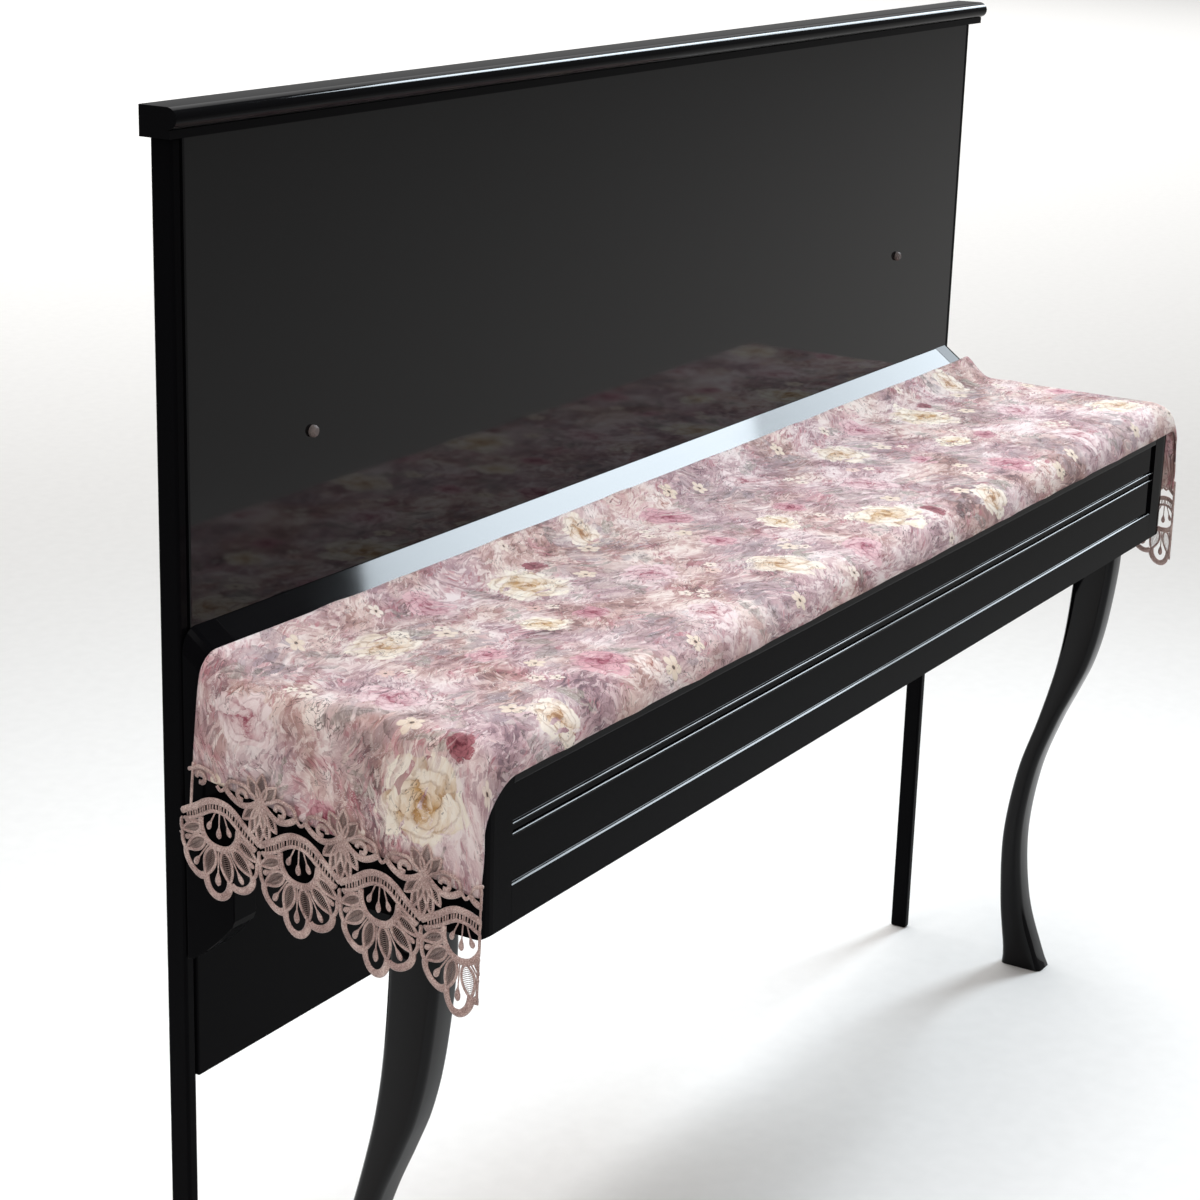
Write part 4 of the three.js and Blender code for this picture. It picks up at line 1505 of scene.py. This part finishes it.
# Worked on both sides of the scallop's middle
SIDE_WORK: tuple[Worked, ...] = (
    Strand(((13, 18.6), (34.8, 34.4)), 6.0, rise=8.6),
    Strand(((35.2, 33.2), (39, 46)), 3.2, Profile.CORD, rise=2.6),
    Strand(((39, 46), (41, 58.4)), 2.8, Profile.CORD, rise=1.6),
    Strand(((38.8, 59.4), (33, 61.4), (24, 66), (15.5, 72.4), (7.5, 77.2), (0, 78.8)), 2.8, Profile.CORD),
    Leaf((5.2, 46), (11.8, 19), 11.4),
    Leaf((13.6, 50.5), (34.2, 34), 11),
    Leaf((18.4, 60), (39.6, 49), 9),
    Drop((9.6, 47.6), (25.4, 23), 5, 11),
    Drop((17.2, 55), (37, 42.2), 4.4, 9),
    Drop((19.6, 64.5), (38, 57.6), 4, 8),
    Drop((3.5, 79), (11.4, 60), 4.6, 9),
    Strand(((39.2, 46.2), (42, 44.6)), 2.6, Profile.CORD),
    Strand(((40.8, 57.8), (42, 57.8)), 2.6, Profile.CORD),
    Strand(((39.8, 52), (42, 51.6)), 2.2, Profile.CORD),
    Leaf((40.6, 100), (24.4, 82.4), 10),
    Leaf((41.2, 99), (32, 71.4), 9),
    Leaf((40.6, 103), (27.6, 120.6), 10.4),
    Strand(((3.5, 102.8), (12, 96.4), (22, 93.2), (32, 96.2), (40, 102.4)), 5.0),
    Strand(((5, 104), (9, 109.4), (15.6, 110.8)), 3.0, Profile.CORD),
    Strand(((26.8, 100.9), (25.2, 105.3), (20.4, 106), (17.2, 102.2), (18.8, 98.4), (23, 97.6)), 4.0),
    Strand(((36, 104.6), (30.5, 107.2), (24.5, 110.8), (15.6, 110.8)), 3.0, Profile.CORD),
)
# Worked once in each valley between two scallops
VALLEY_WORK: tuple[Worked, ...] = (
    Leaf((42, 99.6), (42, 66.8), 10.8),
    Leaf((42, 103), (42, 127.4), 11.2),
    Drop((42, 97), (42, 107), 7.6, 8),
)
# What starts past this place belongs to the leaf spray of a valley
SPRAY_ROOT: Place = (30, 90)
# The two cords of half an arch, with its rungs between them
ARCH_HEAD: tuple[Place, ...] = ((36, 68.5), (25.5, 75.3), (16.5, 82), (8, 86.2), (1, 87))
ARCH_FOOT: tuple[Place, ...] = ((34.6, 60.7), (24, 66), (15.5, 72.4), (7.5, 77.2), (1, 78.6))
RUNGS = 13


@dataclass
class LaceBorder:
    """Openwork lace along the foot of one hanging end, worked flat and then hung.

    Lengths are in millimetres, across from the cloth's back edge and up from the lace's foot.
    """

    tail: Tail
    name: str
    replaced: str
    finish: bpy.types.Material
    pitch: float = 84
    repeats: int = 4
    start: float = -9
    cut: float = 304
    lift: float = 2.6
    height: float = 128
    edge_top: float = 112
    edge_foot: float = 15
    back_foot: float = 69
    cord: float = 2.5
    thread: float = 1.2
    rung: float = 1.5
    edge_cord: float = 3.4
    back_cord: float = 2.6
    stem: float = 1.3
    fullness: float = 1.1
    cover: float = 0.8
    sides: int = 8
    bow_points: int = 19
    leaf_points: int = 15
    net_gap: float = 1.7
    net_reach: float = 0.92
    stem_points: int = 4
    drop_points: int = 11
    drop_tip: float = 0.9
    edge_inset: float = 2
    back_inset: float = 1.6
    edge_step: float = 4
    splines: dict[Profile, list[tuple[Points, Points, bool]]] = field(default_factory=dict)

    def lay(self, profile: Profile, points: Points, widths: Points | float, closed: bool = False) -> None:
        """Lays one strand down.

        Args:
            profile: its section.
            points: its run, with a third column for its depth.
            widths: its width along the run.
            closed: whether it is a ring.
        """
        widths = np.broadcast_to(widths, len(points))
        self.splines.setdefault(profile, []).append((points, widths, closed))

    def run(self, strand: Strand) -> Points:
        """Runs a strand through its places, bowed where it has a rise.

        Args:
            strand: the strand.

        Returns:
            The points of its run.
        """
        places = np.array(strand.places, float)
        if not strand.rise:
            return smooth(places)
        first, last = places
        way = last - first
        right = np.array([way[1], -way[0]]) / np.linalg.norm(way)
        turn = np.linspace(0, math.pi, self.bow_points)[:, None]
        return first + way * (1 - np.cos(turn)) / 2 + right * strand.rise * np.sin(turn)

    def work(self, piece_of_work: Worked, middle: float, mirror: int) -> None:
        """Works one strand, leaf or drop of a repeat.

        Args:
            piece_of_work: what is worked.
            middle: the middle of its scallop.
            mirror: 1, or -1 for its mirror image.
        """

        def placed(line: Points, depth: float) -> Points:
            """Moves a line of a repeat to its place."""
            return np.column_stack([middle + mirror * line[:, 0], line[:, 1], np.full(len(line), depth)])

        match piece_of_work:
            case Strand():
                width = self.fullness * piece_of_work.width
                self.lay(piece_of_work.profile, placed(self.run(piece_of_work), 0), width)
            case Leaf():
                outline, nets = self.leaf_lines(piece_of_work)
                self.lay(Profile.CORD, placed(outline, 0.1), self.cord, closed=True)
                for net in nets:
                    self.lay(Profile.CORD, placed(net, -0.15), self.thread)
            case Drop():
                line, widths = self.drop_line(piece_of_work)
                self.lay(Profile.SATIN, placed(line, 0.25), self.fullness * widths)

    def leaf_lines(self, leaf: Leaf) -> tuple[Points, list[Points]]:
        """Draws a leaf.

        Args:
            leaf: the leaf.

        Returns:
            Its outline, and two threads that cross into a net.
        """
        base, tip = np.array(leaf.base), np.array(leaf.tip)
        way = tip - base
        length = np.linalg.norm(way)
        aside = np.array([-way[1], way[0]]) / length

        def side(share: Points, reach: float) -> Points:
            """One side of the leaf, by the share of the way to its tip."""
            bulge = leaf.width / 2 * reach * np.sin(math.pi * share**0.85) ** 0.8
            return base + share[:, None] * way + bulge[:, None] * aside

        around = np.linspace(0, 1, self.leaf_points)
        outline = np.concatenate([side(around, 1), side(around[-2:0:-1], -1)])
        count = max(6, round(length / self.net_gap))
        steps = np.linspace(0.06, 0.94, count)
        signs = np.where(np.arange(count) % 2, self.net_reach, -self.net_reach)
        nets = []
        for way_round in (1, -1):
            ends = [side(steps[k : k + 1], float(way_round * signs[k]))[0] for k in range(count)]
            nets.append(np.array(ends))
        return outline, nets

    def drop_line(self, drop: Drop) -> tuple[Points, Points]:
        """Draws a stem that swells into a drop.

        Args:
            drop: the drop.

        Returns:
            The points of its run, and its width at each.
        """
        start, end = np.array(drop.start), np.array(drop.end)
        length = np.linalg.norm(end - start)
        swell = drop.length / length
        stem = np.linspace(0, 1 - swell, self.stem_points)[:-1]
        share = np.concatenate([stem, 1 - swell + swell * np.linspace(0, 1, self.drop_points)])
        inside = np.clip((share - 1 + swell) / swell, 0, 1)
        widths = self.stem + (drop.width - self.stem) * np.sin(math.pi * inside**1.5) ** 0.7
        widths = np.where(inside >= 1, self.drop_tip, np.maximum(widths, self.stem - 0.4 * inside))
        return start + share[:, None] * (end - start), widths

    def draw(self) -> None:
        """Draws every repeat, the rungs of its arch, and the bound edges."""
        for repeat in range(self.repeats):
            middle = self.start + self.pitch * (repeat + 0.5)
            for worked in MIDDLE_WORK:
                self.work(worked, middle, 1)
            for mirror in (1, -1):
                for worked in SIDE_WORK:
                    if not (repeat == 0 and mirror < 0 and self.is_spray(worked)):
                        self.work(worked, middle, mirror)
                self.rungs(middle, mirror)
            for worked in VALLEY_WORK:
                self.work(worked, middle, 1)
        edge = (self.cut - self.edge_inset, self.edge_foot, self.edge_cord)
        back = (self.back_inset, self.back_foot, self.back_cord)
        for across, foot, width in (edge, back):
            run = smooth(np.array([(across, foot), (across, self.edge_top)]), self.edge_step)
            self.lay(Profile.CORD, np.column_stack([run, np.zeros(len(run))]), width)

    @staticmethod
    def is_spray(worked: Worked) -> bool:
        """Tells the leaf spray of a valley from the rest.

        Args:
            worked: a strand, leaf or drop.

        Returns:
            Whether it belongs to the spray.
        """
        match worked:
            case Strand():
                root = worked.places[-1]
            case Leaf():
                root = worked.base
            case Drop():
                root = worked.start
        return root[0] > SPRAY_ROOT[0] and root[1] > SPRAY_ROOT[1]

    def rungs(self, middle: float, mirror: int) -> None:
        """Lays the rungs between the two cords of an arch.

        Args:
            middle: the middle of its scallop.
            mirror: 1, or -1 for its mirror image.
        """
        cords = [smooth(np.array(places), 1) for places in (ARCH_HEAD, ARCH_FOOT)]
        for share in np.linspace(0, 1, RUNGS):
            ends = [line[round(share * (len(line) - 1))] for line in cords]
            run = np.array([(middle + mirror * a, b, -0.1) for a, b in np.linspace(*ends, 4)])
            self.lay(Profile.CORD, run, self.rung)

    def swept(self, profile: Profile) -> bpy.types.Mesh:
        """Sweeps a section along all strands of one kind.

        Args:
            profile: the section.

        Returns:
            The strands' mesh, in flat millimetres.
        """
        section = bpy.data.curves.new("section", "CURVE")
        ring = section.splines.new("POLY")
        turns = np.arange(self.sides) * math.tau / self.sides
        ring.points.add(len(turns) - 1)
        for point, turn in zip(ring.points, turns):
            point.co = (math.cos(turn) / 2, profile.value * math.sin(turn) / 2, 0, 1)
        ring.use_cyclic_u = True
        section_piece = put("section", section)
        strands = bpy.data.curves.new("strands", "CURVE")
        strands.dimensions = "3D"
        strands.twist_mode = "Z_UP"
        strands.bevel_mode = "OBJECT"
        strands.bevel_object = section_piece
        strands.use_fill_caps = True
        for points, widths, closed in self.splines[profile]:
            spline = strands.splines.new("POLY")
            spline.points.add(len(points) - 1)
            spline.points.foreach_set("co", np.column_stack([points, np.ones(len(points))]).ravel())
            spline.points.foreach_set("radius", np.array(widths))
            spline.use_cyclic_u = closed
        strand_piece = put("strands", strands)
        graph = bpy.context.evaluated_depsgraph_get()
        mesh = bpy.data.meshes.new_from_object(strand_piece.evaluated_get(graph))
        for helper, data in ((strand_piece, strands), (section_piece, section)):
            bpy.data.objects.remove(helper)
            bpy.data.curves.remove(data)
        return mesh

    def build(self) -> bpy.types.Object:
        """Makes the lace.

        Returns:
            The lace's piece.
        """
        self.draw()
        form = bmesh.new()
        for profile in Profile:
            strands = self.swept(profile)
            form.from_mesh(strands)
            bpy.data.meshes.remove(strands)
        bmesh.ops.remove_doubles(form, verts=form.verts, dist=1e-4)
        all_of_it = [*form.verts, *form.edges, *form.faces]
        cut = (self.cut, 0, 0)
        bmesh.ops.bisect_plane(form, geom=all_of_it, plane_co=cut, plane_no=(1, 0, 0), clear_outer=True)
        bmesh.ops.holes_fill(form, edges=[edge for edge in form.edges if edge.is_boundary])
        flat = np.array([vertex.co for vertex in form.verts])
        hung = in_frame(self.tail.on_lace(flat[:, 0], flat[:, 1], self.lift + flat[:, 2]))
        for vertex, place in zip(form.verts, hung):
            vertex.co = place
        bmesh.ops.recalc_face_normals(form, faces=form.faces)
        made = piece(self.name, finished(form, self.name), self.finish)
        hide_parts(self.replaced)
        size = ((self.cut - self.start) * MM, self.height * MM)
        self.cover * size[0] * size[1]
        return made


# Legs


@dataclass(frozen=True)
class LegRow:
    """A level of a leg: its height above the floor, its middle behind the case's front, and its depth."""

    height: float
    y: float
    depth: float


@dataclass
class CurvedLeg:
    """A front leg that sweeps back under the case and out again to its foot."""

    side: int
    name: str
    replaced: str
    finish: bpy.types.Material
    width: float = 36
    inset: float = 2
    corner: float = 8
    level: float = 9
    corner_points: int = 6
    sharp_edge: float = 50
    rows: tuple[LegRow, ...] = (
        LegRow(0, 123, 56),
        LegRow(22, 128, 46),
        LegRow(90, 144, 32),
        LegRow(180, 150, 26),
        LegRow(270, 138, 24),
        LegRow(340, 116.5, 25.5),
        LegRow(391, 98.8, 33.5),
        LegRow(430, 86.8, 40.5),
        LegRow(480, 77.3, 45.5),
        LegRow(554, 69.9, 49.5),
        LegRow(609.7, 68.5, 50),
    )

    def rounded(self, depth: float) -> Points:
        """Draws the leg's outline at one level: a rectangle with round corners.

        Args:
            depth: its depth there.

        Returns:
            Places about its middle, the first one again at the end.
        """
        across, deep = self.width / 2 - self.corner, depth / 2 - self.corner
        turns = np.linspace(0, math.pi / 2, self.corner_points)
        corners = [(across, deep), (-across, deep), (-across, -deep), (across, -deep)]
        lines = []
        for k, corner in enumerate(corners):
            angle = turns + k * math.pi / 2
            lines.append(np.array(corner) + self.corner * np.column_stack([np.cos(angle), np.sin(angle)]))
        return np.concatenate([*lines, lines[0][:1]])

    def build(self) -> bpy.types.Object:
        """Makes the leg.

        Returns:
            The leg's piece.
        """
        levels = smooth(np.array([(row.height, row.y, row.depth) for row in self.rows]), self.level)
        middle = self.side * (CASE_HALF - self.inset - self.width / 2)
        rings = []
        for height, y, depth in levels:
            outline = self.rounded(depth)
            lift = np.full(len(outline), height)
            rings.append(np.column_stack([middle + outline[:, 0], y + outline[:, 1], lift]))
        mesh, _, _ = grid_mesh(self.name, in_frame(np.array(rings)))
        close_tube(mesh)
        made = piece(self.name, mesh, self.finish)
        mesh.set_sharp_from_angle(angle=math.radians(self.sharp_edge))
        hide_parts(self.replaced)
        return made


# Moulded boards


@dataclass
class MouldedBoard:
    """A board of one section from end to end, in millimetres; it takes the place of a plain board."""

    finish: bpy.types.Material
    name: str
    replaced: str

    def section(self, low: Points, high: Points) -> Points:
        """Draws the section.

        Args:
            low: the plain board's low corner.
            high: its high corner.

        Returns:
            Places in y and z round the section, the first one again at the end.
        """
        (front, foot), (back, head) = low[1:], high[1:]
        return np.array([(back, head), (back, foot), (front, foot), (front, head), (back, head)])

    def build(self) -> bpy.types.Object:
        """Makes the board.

        Returns:
            The board's piece.
        """
        low, high = (np.array(corner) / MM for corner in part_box(self.replaced))
        section = self.section(low, high)
        ends = [np.column_stack([np.full(len(section), x), section]) for x in (low[0], high[0])]
        mesh, _, _ = grid_mesh(self.name, np.array(ends) * MM)
        close_tube(mesh)
        made = piece(self.name, mesh, self.finish)
        mesh.set_sharp_from_angle(angle=SHARP_EDGE)
        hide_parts(self.replaced)
        return made


@dataclass
class Cornice(MouldedBoard):
    """The top board with its round nose over a small set-back lip."""

    name: str = "cornice"
    replaced: str = "top_board"
    lip: float = 7
    nose_depth: float = 10
    steps: int = 17

    def section(self, low: Points, high: Points) -> Points:
        """Draws the section with its nose and lip.

        Args:
            low: the plain board's low corner.
            high: its high corner.

        Returns:
            Places in y and z round the section, the first one again at the end.
        """
        (front, foot), (back, head) = low[1:], high[1:]
        middle, half = (foot + self.lip + head) / 2, (head - foot - self.lip) / 2
        turns = np.linspace(-math.pi / 2, math.pi / 2, self.steps)
        depth = front + self.nose_depth * (1 - np.cos(turns))
        nose = np.column_stack([depth, middle + half * np.sin(turns)])
        set_back = front + self.lip
        start = [(back, head), (back, foot), (set_back, foot), (set_back, foot + self.lip)]
        return np.concatenate([start, nose, [(back, head)]])


@dataclass
class KeyBed(MouldedBoard):
    """The key bed: a rail with a sloped top edge, and two beads on the sunk panel above it."""

    name: str = "key_bed_moulding"
    replaced: str = "key_bed"
    recess: float = 3
    rail: float = 33
    edge: tuple[Place, ...] = ((0, 0), (1.9, 1.27), (3, 1.6))
    beads: tuple[float, ...] = (76, 85)
    bead: tuple[Place, ...] = ((0, -2.4), (1.7, -1.7), (2.4, -0.6), (2.4, 0.4), (0.9, 1.4), (0, 1.7))
    slope: float = 0.2
    polish: bpy.types.Material | None = None

    def section(self, low: Points, high: Points) -> Points:
        """Draws the section with its rail and beads.

        Args:
            low: the plain board's low corner.
            high: its high corner.

        Returns:
            Places in y and z round the section, the first one again at the end.
        """
        (front, foot), (back, head) = low[1:], high[1:]
        sunk = front + self.recess
        start = [(back, head), (back, foot), (front, foot)]
        rail = [(front + inwards, foot + self.rail + up) for inwards, up in self.edge]
        beads = [(sunk - out, foot + middle + up) for middle in self.beads for out, up in self.bead]
        return np.array([*start, *rail, *beads, (sunk, head), (back, head)])

    def build(self) -> bpy.types.Object:
        """Makes the key bed, with its sloped mouldings polished.

        Returns:
            The key bed's piece.
        """
        made = super().build()
        made.data.materials.append(self.polish)
        for face in made.data.polygons:
            face.material_index = int(face.normal.z > self.slope and face.normal.y < -self.slope)
        return made


# Studio


@dataclass(frozen=True)
class Lamp:
    """A soft area light: its name, place, target, size, power, colour and the spread of its beam."""

    name: str
    place: tuple[float, float, float]
    target: tuple[float, float, float]
    size: tuple[float, float]
    power: float
    colour: tuple[float, float, float]
    spread: float


@dataclass(frozen=True)
class Studio:
    """Pale floor, soft lights and the camera."""

    camera_place: tuple[float, float, float] = (-2.35638, -1.07475, 1.48657)
    yaw: float = 58.742
    pitch: float = 17.07
    roll: float = 1.711
    lens: float = 80.32
    sensor: float = 36.0
    view_reach: float = 200
    floor_reach: float = 60.0
    floor_drop: float = 0.0003
    floor_tones: Stops = ((0.3, "#f2f1ef"), (0.7, "#f5f4f2"))
    world: float = 0.25
    lamps: tuple[Lamp, ...] = (
        Lamp("window", (5.59, -0.755, 4.85), (0, 0.05, 0.75), (1.6, 1.5), 18.6, (0.82, 0.92, 1.0), 44),
        Lamp("window_sill", (6.26, -0.83, 3.7), (0, 0.05, 0.75), (1.6, 1.15), 7.6, (0.82, 0.92, 1.0), 44),
        Lamp("overhead", (-0.78, 0.1, 3.4), (-0.28, 0.05, 0.7), (1.6, 3.2), 10.5, (1.0, 0.985, 0.99), 60),
        Lamp("left_fill", (-3.2, -2.0, 2.0), (-0.6, 0, 0.65), (2.0, 2.0), 4.3, (1.0, 0.87, 0.79), 50),
        Lamp("far_sky", (9, 9.5, 7), (9, 9.5, 0), (18, 18), 1480, (1.0, 1.0, 1.0), 150),
    )

    def build(self) -> None:
        """Sets up the floor, the lights and the camera."""
        self.floor()
        for lamp in self.lamps:
            self.light(lamp)
        world = bpy.data.worlds.new("studio")
        world.use_nodes = True
        background = world.node_tree.nodes["Background"]
        background.inputs["Color"].default_value = (1, 1, 1, 1)
        background.inputs["Strength"].default_value = self.world
        scene = bpy.context.scene
        scene.world = world
        scene.view_settings.view_transform = "Standard"
        self.camera()

    def floor(self) -> None:
        """Lays the pale floor."""
        form = bmesh.new()
        bmesh.ops.create_grid(form, x_segments=1, y_segments=1, size=self.floor_reach)
        bmesh.ops.translate(form, verts=form.verts, vec=(0, 0, -self.floor_drop))
        mesh = finished(form, "floor")
        finish = Finish("floor", {"Roughness": 0.8, "Specular IOR Level": 0.1})
        grain = finish.mottle(finish.place(), 40, 3)
        finish.feed(finish.shader.inputs["Base Color"], finish.ramp(grain, self.floor_tones))
        mesh.materials.append(finish.material)
        floor = put("floor", mesh)

    @staticmethod
    def light(lamp: Lamp) -> None:
        """Hangs one area light.

        Args:
            lamp: the light.
        """
        data = bpy.data.lights.new(lamp.name, "AREA")
        data.shape = "RECTANGLE"
        data.size, data.size_y = lamp.size
        data.energy = lamp.power
        data.color = lamp.colour
        data.spread = math.radians(lamp.spread)
        made = put(lamp.name, data)
        made.location = lamp.place
        way = Vector(lamp.target) - Vector(lamp.place)
        made.rotation_euler = way.to_track_quat("-Z", "Y").to_euler()

    def camera(self) -> None:
        """Sets the camera at the photograph's place and angles."""
        yaw, pitch, roll = (math.radians(angle) for angle in (self.yaw, self.pitch, self.roll))
        ahead = Vector((math.sin(yaw) * math.cos(pitch), math.cos(yaw) * math.cos(pitch), -math.sin(pitch)))
        level = Vector((math.cos(yaw), -math.sin(yaw), 0))
        above = level.cross(ahead)
        right = level * math.cos(roll) + above * math.sin(roll)
        up = above * math.cos(roll) - level * math.sin(roll)
        data = bpy.data.cameras.new("camera")
        data.lens = self.lens
        data.sensor_width = self.sensor
        data.clip_end = self.view_reach
        camera = put("camera", data)
        x, y, z = self.camera_place
        turn = Matrix((right, up, -ahead)).transposed().to_4x4()
        camera.matrix_world = Matrix.Translation((x, y + CASE_FRONT, z)) @ turn
        bpy.context.scene.camera = camera


def dress_piano(lacquer: bpy.types.Material, polish: bpy.types.Material, mirror: bpy.types.Material) -> None:
    """Gives the piano's boards their lacquer and its buffers their rubber.

    Args:
        lacquer: the finish of the case.
        polish: the finish of the key lid, which shines more.
        mirror: the finish of the upper panel, which shines most.
    """
    rubber = BlackRubber().build()
    remade = {"cover_cloth", "lace_left", "lace_right", "leg_left", "leg_right", "top_board", "key_bed"}
    shown = {"upper_panel": mirror, "key_lid": polish, "buffer_left": rubber, "buffer_right": rubber}
    wide = {"key_lid": (0.0045, 4), "post_left": (0.0025, 3), "post_right": (0.0025, 3)}
    for name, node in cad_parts.items():
        if name in remade:
            continue
        node.data.materials.clear()
        node.data.materials.append(shown.get(name, lacquer))
        if not name.startswith(("buffer", "arm")):
            round_edges(node, *wide.get(name, (EDGE_ROUNDING, 2)))


def main() -> None:
    """Builds and dresses the cover and the piano."""
    logging.basicConfig(level=logging.INFO, format="%(message)s")
    Studio().build()
    lacquer = BlackLacquer().build()
    polish = BlackLacquer("polished_lacquer", shine=0.055).build()
    mirror = BlackLacquer("mirror_lacquer", shine=0.3).build()
    turned = BlackLacquer("leg_lacquer", shine=0.18).build()
    dress_piano(lacquer, polish, mirror)
    CoverCloth(FloralPrint().build()).build()
    thread = LaceThread().build()
    LaceBorder(TAIL_LEFT, "lace_border_left", "lace_left", thread).build()
    LaceBorder(TAIL_RIGHT, "lace_border_right", "lace_right", thread).build()
    CurvedLeg(-1, "curved_leg_left", "leg_left", turned).build()
    CurvedLeg(1, "curved_leg_right", "leg_right", turned).build()
    Cornice(polish).build()
    KeyBed(lacquer, polish=polish).build()


if __name__ == "__main__":
    main()
